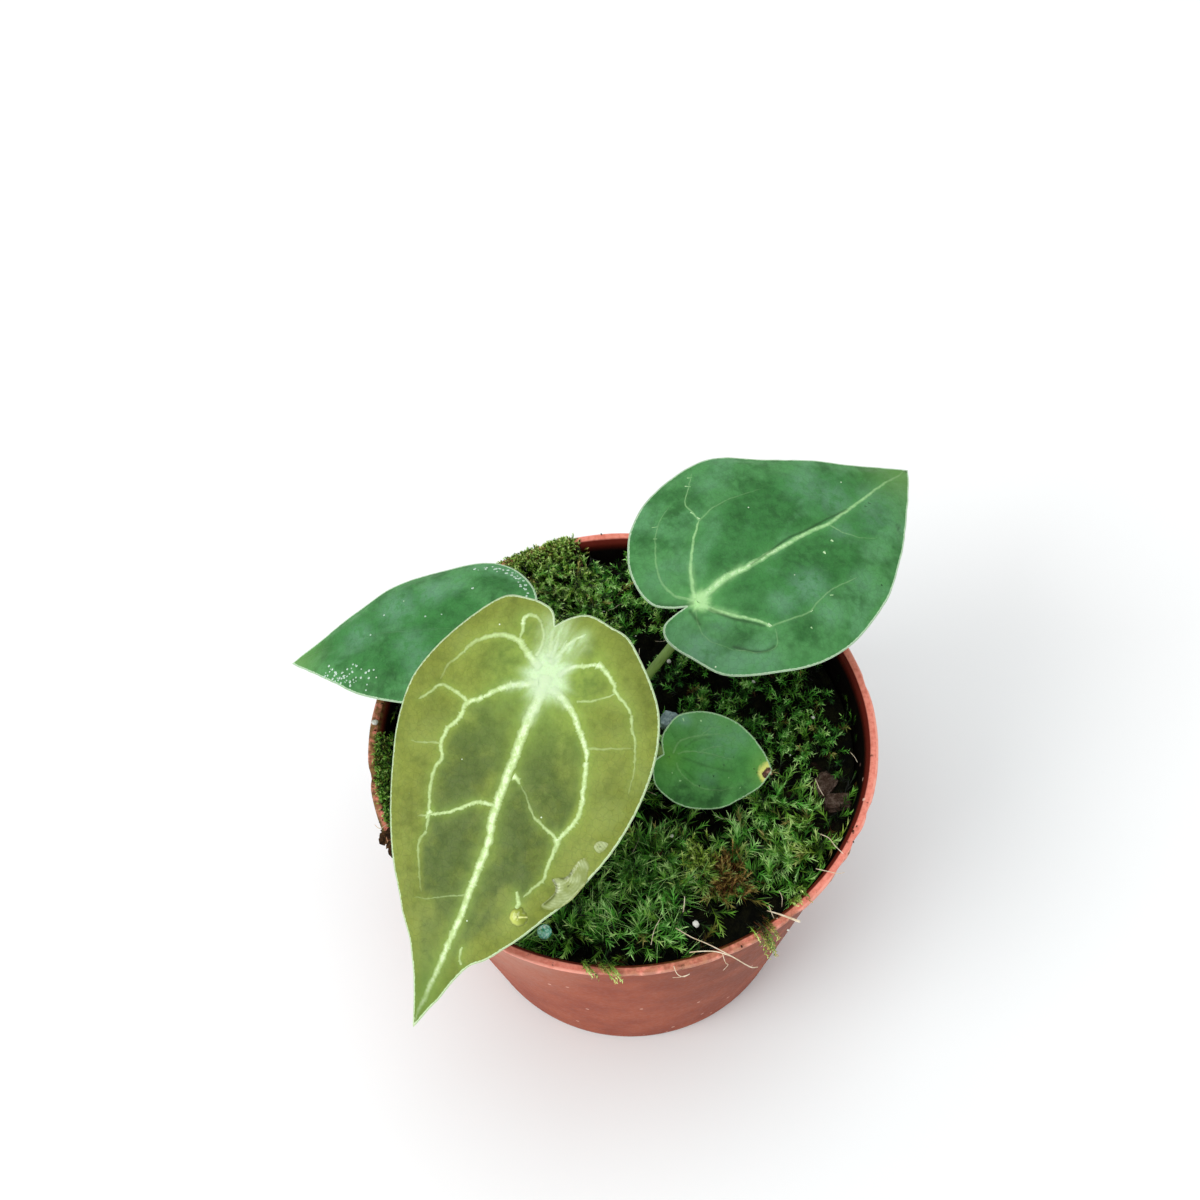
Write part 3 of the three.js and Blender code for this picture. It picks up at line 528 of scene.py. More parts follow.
def spline(points, spacing=None, count=None):
    """Even points along a smooth curve through the given ones"""
    points = np.asarray(points, float)
    padded = np.vstack([points[:1], points, points[-1:]])
    steps = np.linspace(0, 1, 24, endpoint=False)[:, None]
    parts = []
    for i in range(len(points) - 1):
        before, start, end, after = padded[i:i + 4]
        enter = (end - before) / 2
        leave = (after - start) / 2
        parts.append((2 * start - 2 * end + enter + leave) * steps**3
                     + (-3 * start + 3 * end - 2 * enter - leave) * steps**2 + enter * steps + start)
    line = np.vstack([*parts, points[-1:]])
    run = np.concatenate([[0], np.cumsum(np.linalg.norm(np.diff(line, axis=0), axis=1))])
    count = count or max(3, int(run[-1] / spacing) + 1)
    even = np.linspace(0, run[-1], count)
    return np.stack([np.interp(even, run, line[:, k]) for k in range(line.shape[1])], 1)


def tube(path, radius, sides):
    """Points and faces of a round bar along a path, closed at both ends by a point"""
    path = np.asarray(path, float)
    radius = np.broadcast_to(np.asarray(radius, float), (len(path),))
    along = unit(np.gradient(path, axis=0))
    guide = np.array([0.31, 0.17, 0.93])
    side = unit(np.cross(along, guide))
    other = np.cross(along, side)
    angles = np.linspace(0, 2 * math.pi, sides, endpoint=False)
    ring = np.cos(angles)[None, :, None] * side[:, None] + np.sin(angles)[None, :, None] * other[:, None]
    points = path[:, None] + ring * radius[:, None, None]
    points = np.vstack([points.reshape(-1, 3), path[:1], path[-1:]])
    return points, grid_faces(len(path), sides, closed=True), end_fans(len(path), sides)


# Materials


class Shader:
    """Short calls for the nodes of one material"""

    def __init__(self, name):
        self.material = bpy.data.materials.new(name)
        self.material.use_nodes = True
        self.tree = self.material.node_tree
        self.main = self.tree.nodes["Principled BSDF"]

    def node(self, kind, **settings):
        made = self.tree.nodes.new(kind)
        for setting, value in settings.items():
            setattr(made, setting, value)
        return made

    def feed(self, socket, value):
        if isinstance(value, bpy.types.NodeSocket):
            self.tree.links.new(value, socket)
        else:
            socket.default_value = value

    def set(self, **values):
        """Sockets of the main shader, written with _ for the spaces in their names"""
        for socket, value in values.items():
            self.feed(self.main.inputs[socket.replace("_", " ")], value)

    def field(self, name, vector=False):
        made = self.node("ShaderNodeAttribute", attribute_name=name)
        return made.outputs["Vector" if vector else "Fac"]

    def place(self):
        """Place on the object in millimetres"""
        made = self.node("ShaderNodeTexCoord").outputs["Object"]
        return self.vector("SCALE", made, scale=1 / MM)

    def vector(self, operation, first, second=None, scale=None):
        made = self.node("ShaderNodeVectorMath", operation=operation)
        self.feed(made.inputs[0], first)
        if second is not None:
            self.feed(made.inputs[1], second)
        if scale is not None:
            self.feed(made.inputs["Scale"], scale)
        return made.outputs["Value" if operation in ("LENGTH", "DOT_PRODUCT") else "Vector"]

    def parts(self, vector):
        made = self.node("ShaderNodeSeparateXYZ")
        self.feed(made.inputs[0], vector)
        return made.outputs

    def math(self, operation, first, second=0.0, clamp=False):
        made = self.node("ShaderNodeMath", operation=operation, use_clamp=clamp)
        for socket, value in zip(made.inputs, (first, second)):
            self.feed(socket, value)
        return made.outputs[0]

    def step(self, value, low, high, to_low=0.0, to_high=1.0):
        """Smooth step of a value between two limits"""
        made = self.node("ShaderNodeMapRange", interpolation_type="SMOOTHSTEP")
        for socket, given in zip(made.inputs, (value, low, high, to_low, to_high)):
            self.feed(socket, given)
        return made.outputs[0]

    def noise(self, vector, size, detail=3.0, rough=0.55, distortion=0.0):
        """Noise whose features are about that many units wide"""
        made = self.node("ShaderNodeTexNoise")
        self.feed(made.inputs["Vector"], vector)
        made.inputs["Scale"].default_value = 1 / size
        made.inputs["Detail"].default_value = detail
        made.inputs["Roughness"].default_value = rough
        made.inputs["Distortion"].default_value = distortion
        return made.outputs["Fac"]

    def cells(self, vector, size, feature="F1"):
        """Distance from the middles of cells that size, or from the lines between them"""
        made = self.node("ShaderNodeTexVoronoi", feature=feature)
        self.feed(made.inputs["Vector"], vector)
        made.inputs["Scale"].default_value = 1 / size
        return made.outputs["Distance"]

    def mix(self, share, first, second, blend="MIX"):
        made = self.node("ShaderNodeMix", data_type="RGBA", blend_type=blend)
        self.feed(made.inputs[0], share)
        self.feed(made.inputs[6], first)
        self.feed(made.inputs[7], second)
        return made.outputs[2]

    def times(self, colour, factors):
        """The colour with its red, green and blue multiplied by three factors"""
        return self.mix(1.0, colour, (*factors, 1), "MULTIPLY")

    def product(self, first, second, clamp=False):
        return self.math("MULTIPLY", first, second, clamp=clamp)

    def bump(self, height, distance, strength=1.0):
        made = self.node("ShaderNodeBump")
        made.inputs["Strength"].default_value = strength
        made.inputs["Distance"].default_value = distance * MM
        self.feed(made.inputs["Height"], height)
        self.feed(self.main.inputs["Normal"], made.outputs[0])


# Leaf looks: tints as the 0 to 255 values that a screen shows, roughness, strength of the mottling and
# of the glow beside the veins, and how far in the pale line of the margin reaches
LEAF_LOOKS = {
    "leaf_bronze_face": {
        "tints": {
            "outer": (124, 136, 50), "inner": (80, 99, 42), "glow": (150, 182, 80),
            "patch": (106, 119, 42), "sheen": (136, 150, 62), "shade": (84, 108, 40),
            "light": (150, 166, 84), "rim": (206, 230, 184), "star": (204, 232, 184),
            "vein": (208, 240, 166), "tip": (96, 128, 50), "under": (140, 150, 90),
        },
        "shine": 0.5, "mottle": 0.8, "halo": 0.8, "edge_line": 0.24,
    },
    "leaf_green_face": {
        "tints": {
            "outer": (76, 142, 79), "inner": (56, 126, 60), "glow": (104, 176, 100),
            "patch": (38, 102, 42), "sheen": (90, 150, 100), "shade": (40, 102, 44),
            "light": (106, 160, 124), "rim": (190, 220, 185), "star": (180, 234, 158),
            "vein": (168, 224, 150), "tip": (98, 148, 70), "under": (120, 160, 120),
        },
        "shine": 0.4, "mottle": 0.9, "halo": 0.6, "edge_line": 0.26,
    },
    "leaf_small_face": {
        "tints": {
            "outer": (82, 150, 74), "inner": (74, 146, 66), "glow": (96, 158, 58),
            "patch": (56, 124, 52), "sheen": (92, 154, 84), "shade": (30, 88, 32),
            "light": (104, 160, 120), "rim": (178, 220, 170), "star": (150, 210, 130),
            "vein": (168, 224, 150), "tip": (106, 160, 60), "under": (120, 160, 120),
        },
        "shine": 0.4, "mottle": 0.7, "halo": 0.6, "edge_line": 0.17,
    },
}


def leaf_noises(shader, plane):
    """Uneven values of four sizes that the parts of a leaf's paint share"""
    return {
        "broad": shader.noise(plane, 9, 3, 0.6),
        "middle": shader.noise(plane, 2.6, 4, 0.6),
        "fine": shader.noise(plane, 0.55, 3, 0.6),
        "drifts": shader.noise(shader.vector("MULTIPLY", plane, (1.0, 0.6, 1)), 11, 3, 0.55, 0.3),
    }


def leaf_ground(shader, noises, tints, mottle):
    """Zones, patches, painted sheen, shaded and light places, and mottling; also the colour of its dark
    flecks
    """
    broad, middle = noises["broad"], noises["middle"]
    zone = shader.product(shader.field("inner"), shader.step(broad, 0.2, 0.6, 0.75, 1.0))
    colour = shader.mix(zone, tints["outer"], tints["inner"])
    patches = shader.product(shader.step(broad, 0.46, 0.62), 0.8 * mottle)
    colour = shader.mix(patches, colour, tints["patch"])
    # Painted sheen: patches of the lamps' reflection, in the sheen tint
    sheen = shader.step(noises["drifts"], 0.5, 0.66, 0.0, min(1.0, 0.85 * mottle))
    colour = shader.mix(sheen, colour, tints["sheen"])
    ragged = shader.step(middle, 0.32, 0.62, 0.25, 1.15)
    # Shaded and light places; on the green leaves the light places are painted sheen from the lamps
    for kind in ("shade", "light"):
        colour = shader.mix(shader.product(shader.field(kind), ragged, clamp=True), colour, tints[kind])
    dark = shader.times(colour, (0.62, 0.66, 0.6))
    colour = shader.mix(shader.step(middle, 0.42, 0.72, 0.0, 0.75 * mottle), colour, dark)
    lighter = shader.times(colour, (1.28, 1.24, 1.2))
    colour = shader.mix(shader.step(noises["fine"], 0.5, 0.75, 0.0, 0.55 * mottle), colour, lighter)
    return colour, dark


def leaf_net(shader, plane, noises, colour, dark, glow, halo):
    """Fine dark net, the glow beside the veins and at the hub, and a wide faint web over both"""
    bent = shader.node("ShaderNodeTexNoise")
    shader.feed(bent.inputs["Vector"], plane)
    bent.inputs["Scale"].default_value = 0.35
    net_place = shader.vector("ADD", plane, shader.vector("SCALE", bent.outputs["Color"], scale=1.2))
    web_place = shader.vector("ADD", plane, shader.vector("SCALE", bent.outputs["Color"], scale=4.5))
    net = shader.step(shader.cells(net_place, 1.5, "DISTANCE_TO_EDGE"), 0.0, 0.09, 0.6, 0.0)
    colour = shader.mix(shader.product(net, shader.step(noises["fine"], 0.3, 0.6)), colour, dark)
    beside = shader.product(shader.field("glow"), shader.step(noises["middle"], 0.2, 0.8, 1.1, 0.7))
    colour = shader.mix(shader.product(beside, halo), colour, glow)
    hub = shader.product(shader.field("hub"), shader.step(noises["middle"], 0.2, 0.8, 1.0, 0.5))
    colour = shader.mix(hub, colour, glow)
    web = shader.step(shader.cells(web_place, 4.5, "DISTANCE_TO_EDGE"), 0.0, 0.05, 0.07, 0.0)
    return shader.mix(shader.product(web, shader.step(noises["broad"], 0.4, 0.6)), colour, glow)


def leaf_veins(shader, plane, noises, colour, tints):
    """Worn, grainy veins with paler middles, dark marks, the star at the hub, the tip and painted shade in
    the creases
    """
    worn = shader.step(shader.noise(plane, 1.6, 3, 0.6), 0.3, 0.6, 0.68, 1.1)
    grain = shader.step(shader.noise(plane, 0.5, 3, 0.7), 0.25, 0.6, 0.8, 1.12)
    strand = shader.product(shader.field("vein"), shader.product(worn, grain))
    colour = shader.mix(shader.product(strand, 1.0, clamp=True), colour, tints["vein"])
    pale = shader.mix(0.6, tints["vein"], paint(240, 252, 222))
    colour = shader.mix(shader.step(strand, 0.8, 1.1, 0.0, 0.8), colour, pale)
    colour = shader.mix(shader.product(strand, -1.0, clamp=True), colour, paint(22, 58, 26))
    uneven_star = shader.step(noises["fine"], 0.2, 0.7, 0.8, 1.15)
    bright = shader.product(shader.field("star"), uneven_star, clamp=True)
    colour = shader.mix(bright, colour, tints["star"])
    colour = shader.mix(shader.field("tip"), colour, tints["tip"])
    # Painted shade in the creases
    return shader.mix(shader.field("groove"), colour, shader.times(colour, (0.3, 0.36, 0.28)))


def leaf_scorch(shader, noises, colour):
    """Burnt place: yellow round it, then dark brown, with a pale dry middle"""
    burn = shader.product(shader.field("scorch"), shader.step(noises["middle"], 0.3, 0.7, 0.75, 1.2))
    scorch = shader.math("ADD", burn, shader.product(shader.math("SUBTRACT", noises["fine"], 0.3), 0.5))
    scorch = shader.product(scorch, shader.step(burn, 0.0, 0.2))
    colour = shader.mix(shader.step(scorch, 0.2, 0.7), colour, paint(216, 222, 118))
    colour = shader.mix(shader.step(scorch, 0.76, 0.9), colour, paint(74, 44, 30))
    return shader.mix(shader.step(scorch, 1.0, 1.12), colour, paint(158, 118, 100))


def add_specks(shader, place, size, low, high, strength, rare, colour, tint):
    """Small round pale specks, only where the other noise is high"""
    speck = shader.step(shader.cells(place, size), low, high, strength, 0.0)
    return shader.mix(shader.product(speck, rare), colour, tint)


def leaf_paint(name, tints, shine, mottle, halo, edge_line):
    """Leaf face from its tints, with the margin's pale line, specks and a paler underside"""
    tints = {part: paint(*values) for part, values in tints.items()}
    shader = Shader(name)
    plane = shader.field("plane", vector=True)
    noises = leaf_noises(shader, plane)
    colour, dark = leaf_ground(shader, noises, tints, mottle)
    colour = leaf_net(shader, plane, noises, colour, dark, tints["glow"], halo)
    colour = leaf_veins(shader, plane, noises, colour, tints)
    colour = leaf_scorch(shader, noises, colour)
    unevenly = shader.product(shader.math("SUBTRACT", noises["fine"], 0.5), 0.5)
    line = shader.math("ADD", shader.field("edge"), unevenly)
    margin = shader.step(line, edge_line * 0.6, edge_line * 1.3, 0.95, 0.0)
    colour = shader.mix(margin, colour, tints["rim"])
    rare = shader.step(shader.noise(plane, 4.1, 1), 0.56, 0.6)
    colour = add_specks(shader, plane, 3.4, 0.035, 0.06, 1.0, rare, colour, paint(225, 240, 215))
    colour = shader.mix(shader.field("under"), colour, tints["under"])
    shader.set(Base_Color=colour, Roughness=shader.step(noises["middle"], 0.3, 0.7, shine, shine + 0.12))
    shader.set(Subsurface_Weight=0.12, Subsurface_Radius=(0.4, 0.9, 0.25), Subsurface_Scale=0.0012)
    shader.set(Specular_IOR_Level=0.25, Sheen_Weight=0.02, Sheen_Roughness=0.4)
    pebbled = shader.product(shader.cells(plane, 0.7), 0.5)
    shader.bump(shader.math("ADD", pebbled, noises["middle"]), 0.12, 0.7)
    return shader.material


def facing_share(shader, place, azimuth, near, full, strength):
    """Rises to the strength as a place faces the azimuth, between two cosines"""
    facing = shader.vector("DOT_PRODUCT", place, tuple(direction(azimuth) / POT["rim"]))
    return shader.step(facing, near, full, 0.0, strength)


def wall_colour(shader, place, fine, streaked):
    """Mottled terracotta with streaks, painted light on a stretch at the left and painted shade on a stretch
    at the right
    """
    broad = shader.noise(place, 11, 4, 0.6)
    colour = shader.mix(shader.step(broad, 0.35, 0.68), paint(164, 83, 56), paint(144, 66, 45))
    colour = shader.mix(shader.step(fine, 0.4, 0.75, 0.0, 0.4), colour, paint(170, 86, 60))
    colour = shader.mix(shader.step(streaked, 0.52, 0.74, 0.0, 0.2), colour, paint(124, 56, 38))
    colour = shader.mix(shader.step(streaked, 0.2, 0.4, 0.15, 0.0), colour, paint(180, 104, 80))
    # Painted light on the left side of the wall and painted shade on its right side
    for *stretch, tint in WALL_LIGHT_AND_SHADE:
        share = shader.product(facing_share(shader, place, *stretch), shader.step(broad, 0.3, 0.6, 0.5, 1.0))
        colour = shader.mix(share, colour, paint(*tint))
    return colour


def lip_colour(shader, place, radius, fine):
    """Light plastic of the lip, with a painted highlight along the outermost edge, broken up by noise"""
    colour = shader.mix(shader.step(fine, 0.35, 0.7), paint(240, 148, 130), paint(218, 120, 102))
    worn = shader.step(shader.noise(place, 2.2, 2, 0.5), 0.35, 0.5, 0.25, 1.0)
    # Painted highlight along the outermost edge of the lip
    edge_highlight = shader.product(shader.step(radius, POT["rim"] - 0.6, POT["rim"] - 0.25), worn)
    return shader.mix(edge_highlight, colour, paint(246, 168, 150))


def pot_dirt(shader, place, z, fine, colour):
    """Flecks of dirt, thickest near the rim, and soiled stretches of the lip"""
    noise = shader.noise(place, 3.2, 4, 0.7)
    dirt = shader.product(shader.step(noise, 0.62, 0.72), shader.step(z, 78, 86, 0.15, 0.8))
    colour = shader.mix(dirt, colour, paint(58, 38, 24))
    soiled = shader.product(shader.step(z, 84.6, 85.4), shader.step(noise, 0.3, 0.56))
    stain = shader.mix(shader.step(fine, 0.4, 0.6), paint(116, 98, 44), paint(76, 62, 30))
    for stretch in LIP_DIRT:
        colour = shader.mix(shader.product(facing_share(shader, place, *stretch), soiled), colour, stain)
    return colour


def pot_paint():
    """Terracotta-coloured plastic: mottled, with faint streaks, painted light with some dust at the left,
    painted shade at the right and on the inner wall, pale specks, and a lighter lip with a painted highlight
    along its outer edge
    """
    shader = Shader("pot_plastic_worn")
    place = shader.place()
    x, y, z = shader.parts(place)
    radius = shader.math("SQRT", shader.math("ADD", shader.product(x, x), shader.product(y, y)))
    wall = shader.math("ADD", shader.product(z, POT["taper"]), POT["base"] - 0.25)
    inside = shader.step(shader.math("SUBTRACT", wall, radius), 0.0, 0.2)
    fine = shader.noise(place, 1.1, 4, 0.65)
    streaked = shader.noise(shader.vector("MULTIPLY", place, (1, 1, 0.12)), 1.8, 3, 0.6)
    lip = shader.step(z, POT["height"] - 1.6, POT["height"] - 0.9)
    colour = wall_colour(shader, place, fine, streaked)
    colour = shader.mix(lip, colour, lip_colour(shader, place, radius, fine))
    # Painted shade on the inner wall: near black low down, dark red towards the lip
    inner_wall_shade = shader.mix(shader.step(z, 82.5, 85.4), paint(8, 3, 2), paint(96, 27, 17))
    colour = shader.mix(shader.product(inside, shader.step(z, 85.6, 85.9, 1.0, 0.3)), colour, inner_wall_shade)
    rare = shader.step(shader.noise(place, 9, 1), 0.3, 0.45)
    colour = add_specks(shader, place, 6.5, 0.05, 0.085, 0.9, rare, colour, paint(236, 196, 178))
    colour = pot_dirt(shader, place, z, fine, colour)
    shader.set(Base_Color=colour, Roughness=shader.step(fine, 0.3, 0.7, 0.5, 0.66), Specular_IOR_Level=0.12)
    shader.bump(shader.math("ADD", shader.product(fine, 0.7), streaked), 0.12, 0.5)
    return shader.material


def moss_paint():
    """Moss: near black at the root of each shoot as painted shade, green above, and light at the tips of some
    leaves as a painted highlight
    """
    shader = Shader("moss_green")
    tip = shader.field("tip")
    tone = shader.field("tone")
    olive = shader.field("olive")
    deep = shader.mix(olive, paint(34, 100, 28), paint(74, 104, 30))
    bright = shader.mix(olive, paint(104, 204, 66), paint(160, 198, 64))
    body = shader.mix(shader.step(tone, 0.12, 0.88), deep, bright)
    light = shader.mix(olive, paint(206, 252, 164), paint(232, 248, 156))
    # Painted shade: near black low on each shoot
    colour = shader.mix(shader.step(tip, 0.12, 0.5), paint(8, 18, 5), body)
    # Painted highlight on the tips of some leaves
    lit = shader.product(shader.step(tip, 0.4, 0.82), shader.step(tone, 0.32, 0.8))
    colour = shader.mix(lit, colour, light)
    dry = shader.mix(shader.step(tip, 0.2, 0.9), paint(92, 50, 22), paint(196, 156, 88))
    colour = shader.mix(shader.field("dry"), colour, dry)
    shader.set(Base_Color=colour, Roughness=0.45, Specular_IOR_Level=0.3)
    return shader.material


def earth_paint(name, dark, light, size):
    """Crumbly dark stuff with lighter fibres"""
    shader = Shader(name)
    place = shader.place()
    broad = shader.noise(place, size, 4, 0.65)
    fine = shader.noise(place, size / 6, 4, 0.7)
    colour = shader.mix(shader.step(broad, 0.4, 0.7), dark, light)
    deeper = shader.times(colour, (0.45, 0.42, 0.4))
    colour = shader.mix(shader.step(fine, 0.35, 0.65), colour, deeper)
    shader.set(Base_Color=colour, Roughness=0.9, Specular_IOR_Level=0.1)
    shader.bump(shader.math("ADD", broad, fine), 0.5, 0.9)
    return shader.material


def stalk_paint(name, low, high, streak):
    """Stalk: paler towards the blade, with fine lines along it"""
    shader = Shader(name)
    share = shader.field("share")
    grain = shader.noise(shader.field("wrap", vector=True), 1.0, 3, 0.6)
    colour = shader.mix(shader.step(share, 0.0, 0.8), low, high)
    colour = shader.mix(shader.step(grain, 0.45, 0.7, 0.0, 0.6), colour, streak)
    shader.set(Base_Color=colour, Roughness=0.4, Specular_IOR_Level=0.4)
    shader.set(Subsurface_Weight=0.1, Subsurface_Radius=(0.5, 0.9, 0.3), Subsurface_Scale=0.001)
    shader.bump(grain, 0.08, 0.5)
    return shader.material


def film_paint():
    """Thin water film, painted opaque: a painted reflection whitens the leaf under it, in faint lines, with
    painted shadow along its edge and in dark scalloped arcs on one side
    """
    shader = Shader("water_film")
    plane = shader.field("plane", vector=True)
    waves = shader.node("ShaderNodeTexWave", wave_type="RINGS", rings_direction="Z")
    shader.feed(waves.inputs["Vector"], shader.vector("ADD", plane, (19.5, -34.5, 0)))
    for socket, value in {"Scale": 0.55, "Distortion": 4.0, "Detail": 1.5, "Detail Scale": 0.5}.items():
        waves.inputs[socket].default_value = value
    drift = shader.noise(plane, 2.6, 3, 0.6)
    crests = shader.step(waves.outputs["Fac"], 0.55, 0.95, 0.0, 0.4)
    lines = shader.product(crests, shader.step(drift, 0.3, 0.6))
    # Painted reflection of the water: a pale veil with faint lines
    veil = shader.mix(shader.step(drift, 0.35, 0.65), paint(138, 152, 82), paint(178, 192, 138))
    colour = shader.mix(lines, veil, paint(122, 140, 80))
    # Painted shadow along the edge of the film and in its arcs
    colour = shader.mix(shader.step(shader.field("core"), 0.0, 0.12, 0.8, 0.0), colour, paint(126, 138, 58))
    colour = shader.mix(shader.field("arc"), colour, paint(84, 96, 22))
    shader.set(Base_Color=colour, Roughness=0.2, Specular_IOR_Level=0.5)
    shader.bump(waves.outputs["Fac"], 0.05, 0.4)
    return shader.material


def drop_paint():
    """Water drop over the leaf with its light painted in: bright on one side and dark on the other as it
    bends the light, a painted dark rim and a painted highlight streak
    """
    shader = Shader("water_drop")
    plane = shader.field("plane", vector=True)
    x, y, _ = shader.parts(shader.vector("ADD", plane, (-DROP[0], -DROP[1], 0)))
    slope = shader.math("ADD", shader.product(x, 0.75), shader.product(y, 0.66))
    colour = shader.mix(shader.step(slope, -0.9, 1.3), paint(128, 142, 46), paint(196, 208, 104))
    # Painted shade: a dark rim round the drop
    rim = shader.step(shader.field("core"), 0.0, 0.3, 0.8, 0.0)
    colour = shader.mix(rim, colour, paint(100, 112, 36))
    # Painted highlight: a pale streak across the drop
    beside = shader.math("ADD", shader.product(x, 0.36), shader.product(y, -0.93))
    ahead = shader.math("ADD", shader.product(x, -0.93), shader.product(y, -0.36))
    ripple = shader.product(shader.noise(plane, 0.8, 2, 0.6), 0.5)
    streak = shader.step(shader.math("ADD", shader.math("ABSOLUTE", beside), ripple), 0.24, 0.5, 0.9, 0.0)
    highlight_tail = shader.product(streak, shader.step(ahead, -0.8, -0.2))
    colour = shader.mix(highlight_tail, colour, paint(226, 234, 150))
    shader.set(Base_Color=colour, Roughness=0.08, Specular_IOR_Level=0.3, Coat_Weight=0.15)
    shader.set(Coat_Roughness=0.02)
    return shader.material


# Small water beads: one pale opaque colour as their painted glint
def bead_glint_paint():
    shader = Shader("water_bead_glint")
    shader.set(Base_Color=paint(196, 226, 206), Roughness=0.08, Specular_IOR_Level=0.7, Coat_Weight=0.5)
    return shader.material


def granule_paint():
    """Teal fertiliser granule: cloudy and pale in streaks, with a soft gloss"""
    shader = Shader("granule_teal_face")
    cloud = shader.noise(shader.place(), 0.9, 3, 0.6, 1.2)
    colour = shader.mix(shader.step(cloud, 0.35, 0.52), paint(58, 150, 124), paint(140, 214, 190))
    colour = shader.mix(shader.step(cloud, 0.52, 0.62), colour, paint(214, 244, 234))
    shader.set(Base_Color=colour, Roughness=0.25, Subsurface_Weight=0.4, Subsurface_Scale=0.001)
    shader.set(Coat_Weight=0.3, Coat_Roughness=0.15)
    return shader.material


def lump_paint(name, first, second, size, rough=0.7, through=0.0):
    shader = Shader(name)
    place = shader.place()
    colour = shader.mix(shader.step(shader.noise(place, size, 4, 0.6), 0.35, 0.65), first, second)
    shader.set(Base_Color=colour, Roughness=rough, Subsurface_Weight=through, Subsurface_Scale=0.001)
    shader.bump(shader.noise(place, size / 3, 4, 0.7), 0.25, 0.8)
    return shader.material


# Leaves


def leaf_frame(leaf):
    hub = np.array(leaf["hub"], float)
    along = np.array(leaf["tip"], float) - hub
    length = np.linalg.norm(along)
    along /= length
    up = direction(*leaf["facing"])
    up -= along * (up @ along)
    up /= np.linalg.norm(up)
    return {"hub": hub, "along": along, "up": up, "across": np.cross(along, up), "length": length}


def to_world(axes, local):
    """From a leaf's own [across, along, up] to the frame"""
    return axes["hub"] + local @ np.stack([axes["across"], axes["along"], axes["up"]])


def blade_height(leaf, length, x, y):
    bend = leaf["bend"]
    half = leaf["half_width"]
    t = y / length
    beside = np.sqrt(x * x + 1) - 1
    return bend["arch"] * 4 * t * (1 - t) + bend["fold"] * beside / half - bend["droop"] * (x / half) ** 2


def distance_to(points, line):
    """Distance from flat points to a line of short segments, and how far along it they are"""
    nearest = np.full(len(points), 1e9)
    share = np.zeros(len(points))
    for i in range(len(line) - 1):
        start, end = line[i], line[i + 1]
        run = end - start
        size = max(run @ run, 1e-9)
        t = np.clip(((points - start) @ run) / size, 0, 1)
        away = np.linalg.norm(points - start - t[:, None] * run, axis=1)
        closer = away < nearest
        nearest = np.where(closer, away, nearest)
        share = np.where(closer, (i + t) / (len(line) - 1), share)
    return nearest, share


def leaf_outline(leaf, seed):
    """Edge points from the notch round by the tip, with small unevenness"""
    count = leaf["half_turns"]
    first = spline(leaf["edges"][0], count=count + 1)
    second = spline(leaf["edges"][1], count=count + 1)
    outline = np.vstack([first[:-1], second[:0:-1]])
    turn = np.arange(2 * count) / (2 * count)
    circle = np.stack([np.cos(2 * math.pi * turn), np.sin(2 * math.pi * turn)], 1)
    swell = 1 + 0.004 * uneven(circle, 0.35, seed, 3)
    return outline * swell[:, None], turn


def inner_share(leaf, points):
    """1 in the panels beside the midrib, 0 outside them, soft between"""
    x, y = points[:, 0], points[:, 1]
    widths = []
    for line in leaf["inner"]:
        line = np.array(line, float)
        widths.append(np.interp(y, line[:, 1], np.abs(line[:, 0]), left=0, right=0))
    width = np.where(x > 0, widths[0], widths[1])
    softness = leaf.get("panel_softness", 0.14) * leaf["half_width"]
    return smoothstep((width - np.abs(x)) / softness + 0.4)


def star_share(leaf, points, seed):
    """Flat pale patch at the hub with ragged sides, and softer streaked bands that leave it"""
    if "star" not in leaf:
        return np.zeros(len(points))
    star = leaf["star"]
    down = unit(np.array(star["lean"], float))
    local = points - np.array(star["middle"], float)
    away = np.hypot(local @ np.array([down[1], -down[0]]) / star["half"][0], local @ down / star["half"][1])
    ragged = 1 + 0.16 * uneven(unit(local), 0.8, seed + 31, 3)
    share = star["strength"] * np.exp(-((away / ragged) ** 4))
    strands = uneven(points * np.array([1.0, 0.22]), 1.5, seed + 37, 2)
    for line, broad, bright in leaf["bands"]:
        off, part = distance_to(points, np.array(line, float))
        band = bright * (0.82 + 0.4 * strands) * np.exp(-((off / broad) ** 2)) * (1 - 0.35 * part)
        share = np.maximum(share, band)
    return np.clip(share, 0, 1)


def spot_share(spots, points):
    """Soft round patches: middle, radius and strength of each"""
    share = np.zeros(len(points))
    for x, y, reach, strength in spots:
        away = np.hypot(points[:, 0] - x, points[:, 1] - y) / reach
        share = np.maximum(share, strength * np.exp(-(away**3)))
    return share


def hub_share(leaf, points):
    """Soft brighter ground round the hub"""
    reach, strength = leaf.get("hub_glow", (1.0, 0.0))
    return strength * np.exp(-((np.linalg.norm(points, axis=1) / reach) ** 2))


def crease_shade_share(leaf, points):
    """Painted shade in the creases beside some veins"""
    share = np.zeros(len(points))
    for broad, strength, line in leaf.get("crease_shades", ()):
        away, _ = distance_to(points, spline(line, spacing=1.0))
        share = np.maximum(share, strength * np.exp(-((away / broad) ** 2)))
    return share


def dash_veins(leaf):
    """Short marks as veins: place, heading in degrees, length, half width and brightness"""
    marks = []
    for x, y, heading, length, width, bright in leaf.get("dashes", ()):
        reach = direction(heading)[:2] * length / 2
        ends = [(x - reach[0], y - reach[1]), (x + reach[0], y + reach[1])]
        marks.append([width, 0.6 * width, bright, bright, ends])
    return marks


